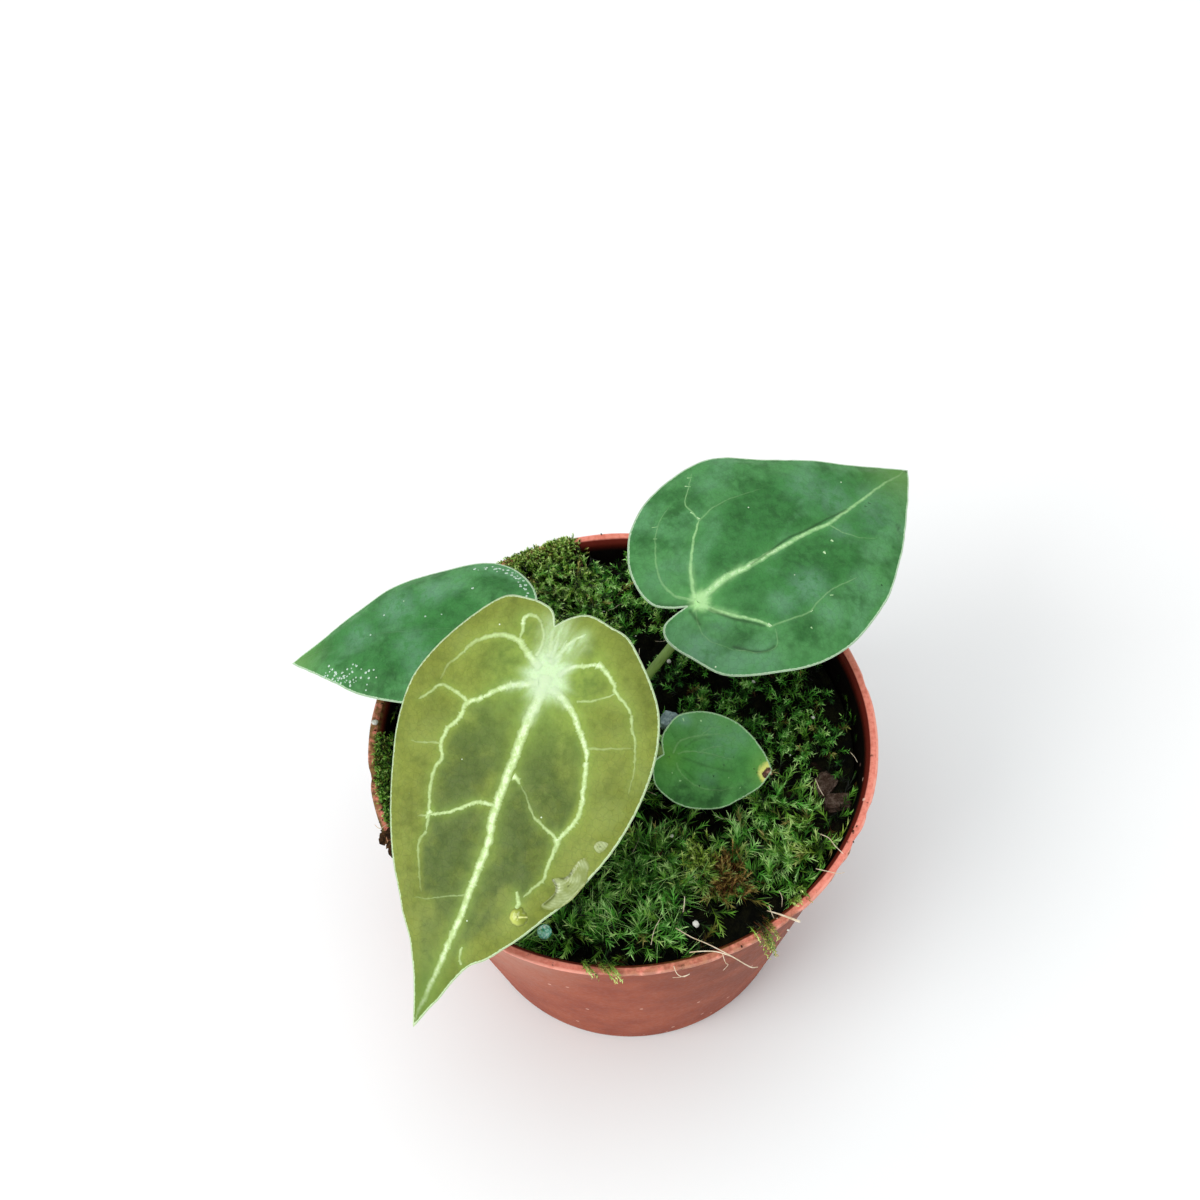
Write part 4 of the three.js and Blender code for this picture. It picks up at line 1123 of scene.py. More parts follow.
def vein_fields(leaf, points, reach):
    """How near each point is to a vein, from 0 to 1, weighed by its brightness; and the distance"""
    glow = np.zeros(len(points))
    nearest = np.full(len(points), 1e9)
    for start, end, bright, fade, line in leaf["veins"]:
        away, share = distance_to(points, spline(line, spacing=1.2))
        width = start + (end - start) * share
        strength = bright + (fade - bright) * share
        beside = np.maximum(away - 0.6 * width, 0)
        glow = np.maximum(glow, strength * np.exp(-beside / (reach * (0.5 + 0.5 * width))))
        nearest = np.minimum(nearest, away)
    return glow, nearest


def edge_distance(points, outline):
    return distance_to(points, np.vstack([outline[::2], outline[:1]]))[0]


def scorch_share(leaf, points):
    """1 where a leaf is burnt, fading round that place"""
    if "scorch" not in leaf:
        return np.zeros(len(points))
    x, y, reach = leaf["scorch"]
    return smoothstep(1.2 - np.hypot(points[:, 0] - x, points[:, 1] - y) / reach)


def leaf_fields(leaf, points, seed, reach, outline):
    """What the paint needs to know at flat places on a blade"""
    glow, _ = vein_fields(leaf, points, reach)
    length = leaf_frame(leaf)["length"]
    to_tip = np.linalg.norm(points - np.array([0, length]), axis=1)
    return {
        "glow": glow,
        "edge": edge_distance(points, outline),
        "star": star_share(leaf, points, seed),
        "hub": hub_share(leaf, points),
        "groove": crease_shade_share(leaf, points),
        "shade": spot_share(leaf.get("shade", ()), points),
        "light": spot_share(leaf.get("light", ()), points),
        "inner": inner_share(leaf, points),
        "tip": 0.8 * smoothstep(1 - to_tip / (0.3 * length)),
        "scorch": scorch_share(leaf, points),
    }


def ring_shares(leaf, outline):
    """Shares of the way from the hub to each edge point: even rings, then close ones by the edge"""
    radius = np.linalg.norm(outline, axis=1)
    rings = leaf["rings"]
    shares = [k / rings * (1 - HUB_EASE / (HUB_EASE + radius)) for k in range(1, rings + 1)]
    shares += [1 - depth / (radius + 0.8 * depth) for depth in EDGE_INSETS]
    return np.array(shares)


def blade_levels(leaf, length, flat, wave, edge, away, seed):
    """Middle height, half thickness and depth of the ridges underneath, from edge and vein distances"""
    scale = leaf["half_width"] / FULL_HALF_WIDTH
    quilt = 0.42 * scale * (1 - np.exp(-((away / (3.2 * scale + 0.6)) ** 2)))
    ripples = 0.3 * scale * uneven(flat, 15 * scale + 2, seed + 1) + 0.05 * uneven(flat, 3, seed + 2)
    relief = (quilt + ripples) * smoothstep(edge / 3) - 0.25 * scale
    middle = blade_height(leaf, length, flat[:, 0], flat[:, 1]) + wave + relief
    half = EDGE_HALF_THICKNESS + (HALF_THICKNESS - EDGE_HALF_THICKNESS) * (1 - np.exp(-edge / 1.5))
    ridge = 0.35 * scale * np.exp(-((away / 0.8) ** 2)) * smoothstep(edge / 4)
    return middle, half, ridge


def rim_rows(outline, height):
    """Three rows of points that round off the edge between the two faces of a blade"""
    outward = unit(np.roll(outline, -1, axis=0) - np.roll(outline, 1, axis=0))
    outward = np.column_stack([outward[:, 1], -outward[:, 0]])
    if ((outward * outline).sum(1)).mean() < 0:
        outward = -outward
    return [np.column_stack([outline + outward * out, height + rise * EDGE_HALF_THICKNESS])
            for out, rise in ((0.1, 0.6), (0.14, 0.0), (0.1, -0.6))]


def blade_faces(outline, rows, total):
    """Faces of the upper side, the under side and the rounded edge, all turned outwards"""
    around = len(outline)
    last = 1 + (rows - 1) * around
    starts = [last, 2 * total, 2 * total + around, 2 * total + 2 * around, total + last]
    strips = np.vstack([ring_wall(high, low, around) for high, low in zip(starts, starts[1:])])
    upper = [grid_faces(rows, around, closed=True) + 1, fan(0, 1, around)]
    if np.cross(outline, np.roll(outline, -1, axis=0)).sum() < 0:
        upper = [faces[:, ::-1] for faces in upper]
        strips = strips[:, ::-1]
    return upper, [faces[:, ::-1] + total for faces in upper], strips


def blade(name, leaf, paint_used, seed, reach):
    """Upper and under face of a blade with a rounded edge, and its veins as raised strips"""
    axes = leaf_frame(leaf)
    outline, turn = leaf_outline(leaf, seed)
    around = len(outline)
    shares = ring_shares(leaf, outline)
    flat = np.concatenate([[[0.0, 0.0]], (outline[None] * shares[..., None]).reshape(-1, 2)])
    share = np.concatenate([[0], shares.ravel()])
    angle = 2 * math.pi * np.concatenate([[0], np.tile(turn, len(shares))])
    wave = leaf["bend"]["wave"] * share**3 * np.sin(7 * angle) * np.sin(angle) ** 2
    edge = edge_distance(flat, outline)
    edge[-around:] = 0
    _, away = vein_fields(leaf, flat, reach)
    middle, half, ridge = blade_levels(leaf, axes["length"], flat, wave, edge, away, seed)
    upper = np.column_stack([flat, middle + half])
    under = np.column_stack([flat, middle - half - ridge])
    total = len(flat)
    upper_faces, under_faces, strips = blade_faces(outline, len(shares), total)
    known = leaf_fields(leaf, flat, seed, reach, outline)
    known["edge"] = edge
    fields = {field: np.concatenate([values, values, np.tile(values[-around:], 3)])
              for field, values in known.items()}
    fields["under"] = np.concatenate([np.zeros(total), np.ones(total), np.zeros(3 * around)])
    pile = Pile("under", "vein", *known)
    pile.add(np.vstack([upper, under, *rim_rows(outline, middle[-around:])]), upper_faces[0], **fields)
    for faces in (upper_faces[1], *under_faces, strips):
        pile.join(faces)
    tree = BVHTree.FromPolygons(upper.tolist(), upper_faces[0].tolist())
    places = [flat, flat, outline, outline, outline, *add_veins(pile, leaf, tree, seed, reach, outline)]
    mesh = with_plane(pile, name, axes, np.vstack(places))
    add_piece(name, mesh, [paint_used], [f"blade_{name.split('_')[1]}"])
    return tree, axes


def with_plane(pile, name, axes, places):
    """Mesh of a pile in leaf coordinates, moved to the frame, that keeps those coordinates as a field"""
    pile.points = [to_world(axes, np.vstack(pile.points))]
    mesh = pile.mesh(name)
    add_vectors(mesh, "plane", flat_vectors(places))
    return mesh


def surface_height(tree, x, y):
    """Height of a blade's upper face at a flat place, and nan beside it"""
    hit = tree.ray_cast(Vector((x, y, 60)), Vector((0, 0, -1)))[0]
    return np.nan if hit is None else hit.z


def jagged(run, seed):
    """Slow swells with small sharp teeth, for the side of a vein"""
    spikes = np.maximum(0, uneven(run, 0.8, seed + 1, 2)) ** 2
    return 0.9 * uneven(run, 2.4, seed, 2) + 1.8 * spikes


def vein_flat(centre, share, sizes, leaf, seed, number):
    """Flat places across a vein at each step of its middle line, and its half width there"""
    start, end = sizes
    along = unit(np.gradient(centre, axis=0))
    side = np.column_stack([along[:, 1], -along[:, 0]])
    run = np.arange(len(centre))[:, None] * VEIN_STEP
    width = end + (start - end) * (1 - share) ** 1.2
    width = width * np.minimum(1, (1.02 - share) * 14)
    teeth = leaf.get("teeth", 1.0) * (0.08 + 0.08 * width)
    left = width + teeth * jagged(run, seed + 5 * number)
    right = width + teeth * jagged(run, seed + 11 * number)
    wander = 0.1 * uneven(run, 5, seed + 17 * number)[:, None]
    spread = np.where(VEIN_OFFSETS[None] < 0, left[:, None], right[:, None]) * VEIN_OFFSETS[None]
    flat = centre[:, None] + side[:, None] * (spread + wander)[..., None]
    return flat.reshape(-1, 2), width


def add_veins(pile, leaf, tree, seed, reach, outline):
    """Raised strips with soft, uneven sides along each vein; returns their flat places"""
    places = []
    columns = len(VEIN_OFFSETS)
    for number, (start, end, bright, fade, points) in enumerate(leaf["veins"] + dash_veins(leaf)):
        centre = spline(points, spacing=VEIN_STEP)
        count = len(centre)
        share = np.linspace(0, 1, count)
        flat, width = vein_flat(centre, share, (start, end), leaf, seed, number)
        heights = np.array([surface_height(tree, x, y) for x, y in flat])
        known = ~np.isnan(heights)
        heights = np.interp(np.arange(len(heights)), np.flatnonzero(known), heights[known])
        lift = np.tile(VEIN_RISES, count) * np.repeat(np.minimum(1, 0.5 + width), columns)
        brightness_here = np.repeat(bright + (fade - bright) * share, columns)
        pile.add(np.column_stack([flat, heights + lift]), grid_faces(count, columns),
                 vein=np.tile(VEIN_CORES, count) * brightness_here,
                 **leaf_fields(leaf, flat, seed, reach, outline))
        places.append(flat)
    return places


def bezier(points, count):
    t = np.linspace(0, 1, count)[:, None]
    a, b, c, d = (np.asarray(point, float) for point in points)
    return a * (1 - t) ** 3 + 3 * b * t * (1 - t) ** 2 + 3 * c * t**2 * (1 - t) + d * t**3


def petiole(name, leaf, paint_used):
    """Stalk with a sheath at its foot and a knee under the blade"""
    axes = leaf_frame(leaf)
    stalk = leaf["stalk"]
    outward = direction(stalk["azimuth"])
    foot = np.array([STEM["x"], STEM["y"], STEM["top"] + GAP]) + outward * STALK["foot_ring"]
    head = axes["hub"] - axes["up"] * (SEAT - 0.7)
    rising = foot + outward * stalk["lean"] + np.array([0, 0, stalk["rise"]])
    nearing = head - axes["up"] * stalk["approach"]
    path = spline(bezier((foot, rising, nearing, head), 40), count=90)
    run = np.concatenate([[0], np.cumsum(np.linalg.norm(np.diff(path, axis=0), axis=1))])
    length = run[-1]
    radius = np.full(len(path), STALK["radius"])
    radius += (STALK["sheath"] - STALK["radius"]) * smoothstep(1 - run / STALK["sheath_height"])
    radius += (STALK["knee"] - STALK["radius"]) * smoothstep(1.4 - (length - run) / STALK["knee_length"])
    radius *= 1 + 0.025 * uneven(run[:, None], 6, len(name))
    sides = 20
    pile = Pile("share")
    pile.add_tube(path, radius, sides, share=np.concatenate([np.repeat(run / length, sides), [0, 1]]))
    mesh = pile.mesh(name)
    angle = np.tile(np.linspace(0, 2 * math.pi, sides, endpoint=False), len(path))
    wrap = np.column_stack([1.2 * np.cos(angle), 1.2 * np.sin(angle), np.repeat(run, sides) / 9])
    add_vectors(mesh, "wrap", np.vstack([wrap, np.zeros((2, 3))]))
    add_piece(name, mesh, [paint_used], [name.replace("_stalk", "")])


# Pot


def rounded(profile, radii, steps=4):
    """Profile whose inner corners become arcs of the given radii"""
    profile = [np.array(point, float) for point in profile]
    line = [profile[0]]
    for before, corner, after, radius in zip(profile, profile[1:], profile[2:], radii):
        enter = corner - before
        leave = after - corner
        reach = min(radius, 0.45 * np.linalg.norm(enter), 0.45 * np.linalg.norm(leave))
        start = corner - unit(enter) * reach
        end = corner + unit(leave) * reach
        for t in np.linspace(0, 1, steps + 1):
            line.append(start * (1 - t) ** 2 + 2 * corner * t * (1 - t) + end * t**2)
    line.append(profile[-1])
    return np.array(line)


def filled_in(line, longest):
    """The same line with no stretch longer than that"""
    parts = [line[:1]]
    for start, end in zip(line[:-1], line[1:]):
        count = max(1, int(np.linalg.norm(end - start) / longest))
        parts.append(start + (end - start) * (np.arange(1, count + 1) / count)[:, None])
    return np.vstack(parts)


def outer_radius(height):
    return POT["base"] + POT["taper"] * height


def inner_radius(height):
    return outer_radius(height) - POT["wall"]


def pot_profile():
    """Half section of the pot, from the middle of its underside round the lip to its inside"""
    under_lip = POT["height"] - POT["lip"]
    foot = POT["base"] - POT["foot_width"]
    floor = POT["wall"]
    slope = POT["slope"]
    corners = [
        (0, 0), (POT["pad"], 0), (POT["pad"] + slope, POT["rise"]), (foot - slope, POT["rise"]), (foot, 0),
        (POT["base"], 0), (outer_radius(under_lip), under_lip), (POT["rim"], under_lip),
        (POT["rim"], POT["height"]), (POT["rim"] - POT["lip_width"], POT["height"]),
        (inner_radius(under_lip), under_lip - 0.4), (inner_radius(floor), floor), (foot + floor / 2, floor),
        (foot - slope + floor / 3, POT["rise"] + floor),
        (POT["pad"] + slope - floor / 3, POT["rise"] + floor), (POT["pad"] - floor / 2, floor), (0, floor),
    ]
    radii = [0.4, 0.5, 0.5, 0.4, 0.8, 0.5, 0.3, 0.42, 0.5, 0.4, 1.0, 0.5, 0.5, 0.5, 0.5]
    return filled_in(rounded(corners, radii), 3.0)[1:-1]


def pot_shell(material):
    """Turned wall with a rounded, slightly worn lip, and a raised ring of drain holes under it"""
    under_lip = POT["height"] - POT["lip"]
    profile = pot_profile()
    rows, sides = len(profile), POT["sides"]
    azimuth = np.linspace(0, 2 * math.pi, sides, endpoint=False)
    radius = np.broadcast_to(profile[:, 0][:, None], (rows, sides)).copy()
    level = np.broadcast_to(profile[:, 1][:, None], (rows, sides)).copy()
    circle = np.stack([np.cos(azimuth), np.sin(azimuth)], 1)
    lip_share = smoothstep((level - under_lip + 0.6) / 0.6)
    chips = np.zeros(sides)
    for where, depth, width in LIP_CHIPS:
        off = np.degrees(np.angle(np.exp(1j * (azimuth - math.radians(where)))))
        chips += depth * np.exp(-((off / width) ** 2))
    outer_lip = lip_share * smoothstep((radius - POT["rim"] + 1.4) / 0.8)
    radius -= outer_lip * (chips + 0.05 * uneven(circle, 0.3, 3)[None])
    level += lip_share * (0.07 * uneven(circle, 0.45, 5) - 0.35 * chips)[None]
    radius *= 1 + 0.0016 * np.cos(2 * azimuth + 0.7)[None] * np.clip(level / POT["height"], 0, 1)
    points = np.stack([radius * np.cos(azimuth), radius * np.sin(azimuth), level], -1).reshape(-1, 3)
    ends = [[0, 0, 0], [0, 0, POT["wall"]]]
    faces = [(grid_faces(rows, sides, closed=True), 0), (end_fans(rows, sides), 0)]
    mesh = write_mesh("pot_shell", np.vstack([points, ends]), faces)
    pierce(add_piece("pot_shell", mesh, [material], ["pot"]))


def pierce(piece):
    """Cuts the drain holes through the raised ring of the base"""
    pile = Pile()
    for i in range(POT["drains"]):
        centre = direction(360 * i / POT["drains"]) * POT["drain_ring"]
        path = np.array([centre + np.array([0, 0, level]) for level in (0.2, 6.0)])
        pile.add_tube(path, POT["drain_radius"], 32)
    cutter = bpy.data.objects.new("drain_cutter", pile.mesh("drain_cutter"))
    bpy.context.scene.collection.objects.link(cutter)
    modifier = piece.modifiers.new("drains", "BOOLEAN")
    modifier.operation = "DIFFERENCE"
    modifier.solver = "EXACT"
    modifier.object = cutter
    bpy.context.view_layer.update()
    shown = piece.evaluated_get(bpy.context.evaluated_depsgraph_get())
    pierced = bpy.data.meshes.new_from_object(shown)
    piece.modifiers.clear()
    piece.data = pierced
    bpy.data.objects.remove(cutter)


# Potting mix


def crumbs(x, y):
    """Rounded lumps of the mix, from 0 to 1"""
    wave = 0.55
    along_x = np.sin(wave * x + 1.3 * np.sin(1.7 * wave * y))
    along_y = np.cos(1.3 * wave * y + np.sin(wave * x))
    return 0.5 + 0.5 * along_x * along_y


def add_mix_body(pile, edge, sides=200, rings=70):
    """Filled body with an uneven top"""
    bottom = POT["rise"] + POT["wall"] + GAP
    azimuth = np.linspace(0, 2 * math.pi, sides, endpoint=False)
    away = edge * np.arange(1, rings + 1)[:, None] / rings
    flat = np.stack([(away * np.cos(azimuth)).ravel(), (away * np.sin(azimuth)).ravel()], 1)
    height = SOIL_LEVEL - SOIL_CRUMB * crumbs(flat[:, 0], flat[:, 1])
    height += 0.5 * uneven(flat, 3.5, 21, 3) - 0.4
    inwards = np.minimum(1, (inner_radius(height) - GAP) / edge)
    top = np.column_stack([flat * inwards[:, None], height])
    low_edge = inner_radius(bottom) - GAP
    low = np.column_stack([low_edge * np.cos(azimuth), low_edge * np.sin(azimuth), np.full(sides, bottom)])
    pile.add(np.vstack([top, low, [[0, 0, SOIL_LEVEL - 1.2], [0, 0, bottom]]]),
             grid_faces(rings, sides, closed=True))
    low_first = rings * sides
    middle = low_first + sides
    pile.join(ring_wall(low_first - sides, low_first, sides))
    pile.join(np.vstack([fan(middle, 0, sides), fan(middle + 1, low_first, sides)[:, [0, 2, 1]]]))


def potting_mix(material):
    """Body of the mix, and loose crumbs of bark and fibre on it"""
    edge = inner_radius(SOIL_LEVEL) - GAP
    pile = Pile()
    add_mix_body(pile, edge)
    random = np.random.default_rng(5)
    for _ in range(CRUMB_COUNT):
        away = edge * math.sqrt(random.uniform(0.02, 0.97))
        turn = random.uniform(0, 2 * math.pi)
        size = random.uniform(0.5, 2.2) * CHIP_SHAPE
        spot = np.array([away * math.cos(turn), away * math.sin(turn), 0])
        spot[2] = SOIL_LEVEL - SOIL_CRUMB * crumbs(spot[0], spot[1]) + 0.3 * size[2]
        if np.hypot(spot[0], spot[1]) + size[0] < inner_radius(spot[2]) - GAP:
            add_lump(pile, spot, size, random, 0.25, 1)
    add_piece("potting_mix", pile.mesh("potting_mix"), [material], ["substrate"])


ICOSPHERES = {}


def icosphere(detail):
    """Corners and triangles of a round body, kept for reuse"""
    if detail not in ICOSPHERES:
        body = bmesh.new()
        bmesh.ops.create_icosphere(body, subdivisions=detail, radius=1)
        body.verts.ensure_lookup_table()
        corners = np.array([vert.co[:] for vert in body.verts])
        triangles = np.array([[vert.index for vert in face.verts] for face in body.faces])
        body.free()
        ICOSPHERES[detail] = (corners, triangles)
    return ICOSPHERES[detail]


def add_lump(pile, spot, size, random, rough, detail):
    """Uneven round lump, turned at random"""
    corners, triangles = icosphere(detail)
    shift = random.uniform(0, 9)
    swell = 1 + rough * uneven(corners + shift, 1.6, int(random.integers(1, 999)), 3)
    body = corners * swell[:, None] * np.asarray(size) / 2
    heading = Matrix.Rotation(random.uniform(0, 6.28), 3, "Z")
    tilt = Matrix.Rotation(random.uniform(-0.4, 0.4), 3, "X")
    pile.add(body @ np.array(heading @ tilt).T + spot, triangles)


# Moss

# Hollows in the moss, where the shoots are also painted darker as shade: middle, half widths, in millimetres
HOLLOWS = [
    (20.5, -48.8, 9.0, 5.4), (27.5, -46.6, 4.6, 4.6), (13.6, -49.0, 4.6, 4.6), (47.5, -16.0, 7.0, 6.5),
    (50.0, -30.0, 2.6, 6.5), (53.5, -7.0, 3.0, 9.0), (51.5, 5.0, 5.0, 4.0), (52.5, 16.0, 3.2, 8.0),
    (-2.0, 55.0, 8.0, 2.8), (-56.0, 10.5, 3.4, 7.0), (10.0, 9.5, 6.5, 4.0), (13.6, -28.5, 5.0, 2.4),
    (19.0, -21.0, 8.6, 4.6), (7.0, -19.5, 6.0, 4.6),
    (33.8, 7.1, 5.0, 3.0), (-7.0, -31.5, 5.0, 3.0), (-3.0, -54.5, 6.0, 2.2), (24.0, 16.0, 5.5, 3.4),
    (7.0, 24.0, 4.5, 3.6), (-30.0, -42.0, 5.0, 4.0), (6.6, -43.3, 2.6, 2.4), (-1.5, -42.7, 3.0, 1.8),
    (-14.0, -53.0, 4.5, 2.6), (18.4, -2.2, 3.6, 2.4), (35.0, -8.0, 2.4, 2.0),
]
# Bright stretches: middle, radius, how much brighter and how much more olive
BRIGHT = [(31.0, -32.0, 9.0, 0.6, 0.0), (37.5, -33.5, 7.0, 0.4, 0.1), (3.0, -38.0, 8.0, 0.25, 0.0),
          (-14.0, 47.0, 9.0, 0.35, 0.15),
          (-22.0, 53.0, 7.0, 0.3, 0.3), (-5.0, 47.0, 6.0, 0.2, 0.1), (-56.0, -5.0, 6.0, 0.4, 0.0),
          (18.0, -27.0, 6.0, 0.2, 0.0), (-10.0, -46.0, 8.0, 0.2, 0.0),
          (42.0, 1.0, 5.0, 0.15, 0.0), (37.5, -47.5, 4.0, 0.5, 0.3), (-50.0, -8.0, 6.0, 0.5, 0.2),
          (46.0, -29.0, 2.8, 0.4, 0.6), (43.6, -24.6, 2.6, 0.4, 0.6), (43.8, -32.4, 2.6, 0.4, 0.5),
          (38.7, -15.3, 2.6, 0.5, 0.6), (26.7, 6.2, 3.0, 0.3, 0.3), (51.8, -0.5, 1.8, 0.6, 0.0),
          (14.0, -34.0, 4.0, 0.3, 0.5), (15.0, -40.0, 3.0, 0.3, 0.5), (24.0, -39.0, 5.0, 0.2, 0.0)]
# Withered stretch: middle and radius, and how many brown shoots and pale yellow ones it has
BROWN_PATCH = (21.2, -37.6, 3.2)
WITHERED = (74, 70)
# Tufts of long blades: how many, sector in degrees, distances, lengths, width, tone and olive
STRANDS = [(80, (-125, -74), (30, 56), (4.0, 9.0), 0.2, (0.75, 0.1)),
           (45, (-76, -28), (22, 55), (2.5, 6.0), 0.18, (0.7, 0.15))]
PER_TUFT = 13


def hollow_share(x, y):
    share = np.zeros(np.shape(x))
    for middle_x, middle_y, wide, tall in HOLLOWS:
        share = np.maximum(share, np.exp(-(((x - middle_x) / wide) ** 2) - ((y - middle_y) / tall) ** 2))
    gaps = smoothstep((uneven(np.column_stack([x, y]), 9, 83, 3) - 0.22) / 0.45)
    return np.maximum(share, 0.8 * gaps)


def brightness(x, y):
    """How much brighter and how much more olive the moss is at a place"""
    total = np.zeros((2, *np.shape(x)))
    for middle_x, middle_y, reach, more, yellower in BRIGHT:
        near = np.exp(-((x - middle_x) ** 2 + (y - middle_y) ** 2) / reach**2)
        total += np.array([more, yellower])[:, None] * near
    return total


def moss_top(x, y):
    return MOSS_LEVEL + MOSS_TILT * y - MOSS_SINK * smoothstep((x - MOSS_SINK_FROM) / MOSS_SINK_OVER)


def place_clumps(random, sector, spacing, tries=3000):
    """Middles of moss tufts between the stem and the wall, no closer together than the spacing"""
    found = []
    for _ in range(tries):
        azimuth = random.uniform(*sector)
        away = math.sqrt(random.uniform(0.0, 1.0)) * (inner_radius(80) - 2.0)
        spot = direction(azimuth)[:2] * away
        if np.hypot(spot[0] - STEM["x"], spot[1] - STEM["y"]) < STEM["radius"] + 1.5:
            continue
        if all(np.hypot(*(spot - other)) > spacing * random.uniform(0.75, 1.25) for other in found):
            found.append(spot)
    return np.array(found)


def moss_base(pile, sector):
    """Uneven mat that the shoots stand in, painted near black as the shade deep in the moss"""
    turns, rings = 90, 46
    azimuth = np.radians(np.linspace(sector[0] - 3, sector[1] + 3, turns))
    away = np.linspace(0, 1, rings)
    stem = np.array([STEM["x"], STEM["y"]])
    way = np.stack([np.cos(azimuth), np.sin(azimuth)], 1)
    near = stem + way * (STEM["radius"] + 0.5)
    far = way * (inner_radius(78) - 0.8)
    flat = (near[None] + (far - near)[None] * away[:, None, None]).reshape(-1, 2)
    x, y = flat[:, 0], flat[:, 1]
    height = moss_top(x, y) - 4.8 - 2.0 * hollow_share(x, y) + 0.8 * uneven(flat, 7, 61, 4)
    height = np.maximum(height, SOIL_LEVEL + 0.2)
    top = np.column_stack([flat, height])
    low = np.column_stack([flat, np.full(len(flat), SOIL_LEVEL - 1.0)])
    total = len(top)
    faces = grid_faces(rings, turns)
    border = np.concatenate([np.arange(turns), np.arange(1, rings) * turns + turns - 1,
                             np.arange(turns - 2, -1, -1) + (rings - 1) * turns,
                             np.arange(rings - 2, 0, -1) * turns])
    after = np.roll(border, -1)
    side = np.column_stack([border, after, after + total, border + total])
    pile.add(np.vstack([top, low]), faces[:, ::-1], 1)
    pile.join(faces + total, 1)
    pile.join(side, 1)


def shoot_paths(roots, lean, azimuth, length, bow, joints=5):
    """Axes of many shoots: straight up turned by the lean, then bowed further over"""
    steps = np.linspace(0, 1, joints)
    level = np.stack([np.cos(azimuth), np.sin(azimuth), np.zeros(len(azimuth))], 1)
    path = [roots]
    for t in steps[1:]:
        tilt = lean + bow * t
        heading = level * np.sin(tilt)[:, None] + np.array([0, 0, 1]) * np.cos(tilt)[:, None]
        path.append(path[-1] + heading * (length / (joints - 1))[:, None])
    return np.stack(path, 1)


def along_path(paths, share):
    """Points at a share of each path, and the direction there"""
    joints = paths.shape[1]
    place = np.clip(share * (joints - 1), 0, joints - 1.001)
    low = place.astype(int)
    part = (place - low)[:, None]
    index = np.arange(len(paths))
    start = paths[index, low]
    end = paths[index, low + 1]
    return start + (end - start) * part, unit(end - start)


def leaf_kites(pile, spot, along, outward, opening, size, broad, wall, **fields):
    """One narrow leaf per shoot: two triangles on a fold, from the spot outwards"""
    heading = unit(along * np.cos(opening)[:, None] + outward * np.sin(opening)[:, None])
    across = unit(np.cross(heading, along))
    lift = unit(np.cross(across, heading))
    widest = spot + heading * (0.38 * size)[:, None] + 0.06 * size[:, None] * lift
    left = widest + across * (0.5 * broad)[:, None]
    right = widest - across * (0.5 * broad)[:, None]
    top = spot + heading * size[:, None] - 0.1 * size[:, None] * lift
    points = np.stack([spot, left, top, right], 1)
    if wall:
        points = keep_in(points)
    index = np.arange(len(spot))[:, None] * 4
    faces = np.concatenate([index + [0, 1, 2], index + [0, 2, 3]])
    pile.add(points, faces, 0, **fields)


def strip_faces(count, joints):
    """Quads of many strips that are two points wide"""
    one = np.array([[2 * j, 2 * j + 1, 2 * j + 3, 2 * j + 2] for j in range(joints - 1)])
    return (np.arange(count)[:, None, None] * 2 * joints + one[None]).reshape(-1, 4)


def add_shoots(pile, random, paths, leaves, leaf_length, leaf_width, look_of, opening=(0.8, 0.3), wall=True):
    """Feathery shoots along the paths: narrow folded leaves set spirally round each"""
    count = len(paths)
    tone, dry, olive, shade = (np.broadcast_to(values, (count,)) for values in look_of)
    phase = random.uniform(0, 2 * math.pi, count)
    guide = unit(random.normal(size=(count, 3)))
    golden = math.radians(137.5)
    for k in range(leaves):
        share = 0.14 + 0.86 * (k + random.uniform(0, 0.8, count)) / leaves
        spot, along = along_path(paths, share)
        side = unit(np.cross(along, guide))
        other = np.cross(along, side)
        turn = phase + k * golden + random.uniform(-0.35, 0.35, count)
        outward = side * np.cos(turn)[:, None] + other * np.sin(turn)[:, None]
        open_by = opening[0] + (opening[1] - opening[0]) * share + random.uniform(-0.25, 0.25, count)
        size = leaf_length * (1 - 0.4 * share**3) * random.uniform(0.65, 1.25, count)
        broad = leaf_width * random.uniform(0.7, 1.25, count)
        each = np.clip(0.8 * tone + 0.7 * random.uniform(size=count) ** 3, 0, 1)
        # Darker toward each shoot's root, and more so in shaded shoots: painted shade
        tip = share[:, None] * np.array([0.62, 0.8, 1.0, 0.8])[None] * shade[:, None]
        leaf_kites(pile, spot, along, outward, open_by, size, broad, wall, tip=tip.ravel(),
                   tone=np.repeat(each, 4), dry=np.repeat(dry, 4), olive=np.repeat(olive, 4))
    across = unit(np.cross(paths[:, -1] - paths[:, 0], guide)) * 0.08
    strip = np.stack([paths - across[:, None], paths + across[:, None]], 2)
    joints = paths.shape[1]
    points = strip.reshape(count, -1, 3)
    points = keep_in(points) if wall else points
    faces = strip_faces(count, joints)
    along_share = np.repeat(np.linspace(0, 0.85, joints), 2)
    looks = {"tone": tone, "dry": dry, "olive": olive}
    pile.add(points, faces, tip=(along_share[None] * shade[:, None]).ravel(),
             **{look: np.repeat(values, 2 * joints) for look, values in looks.items()})


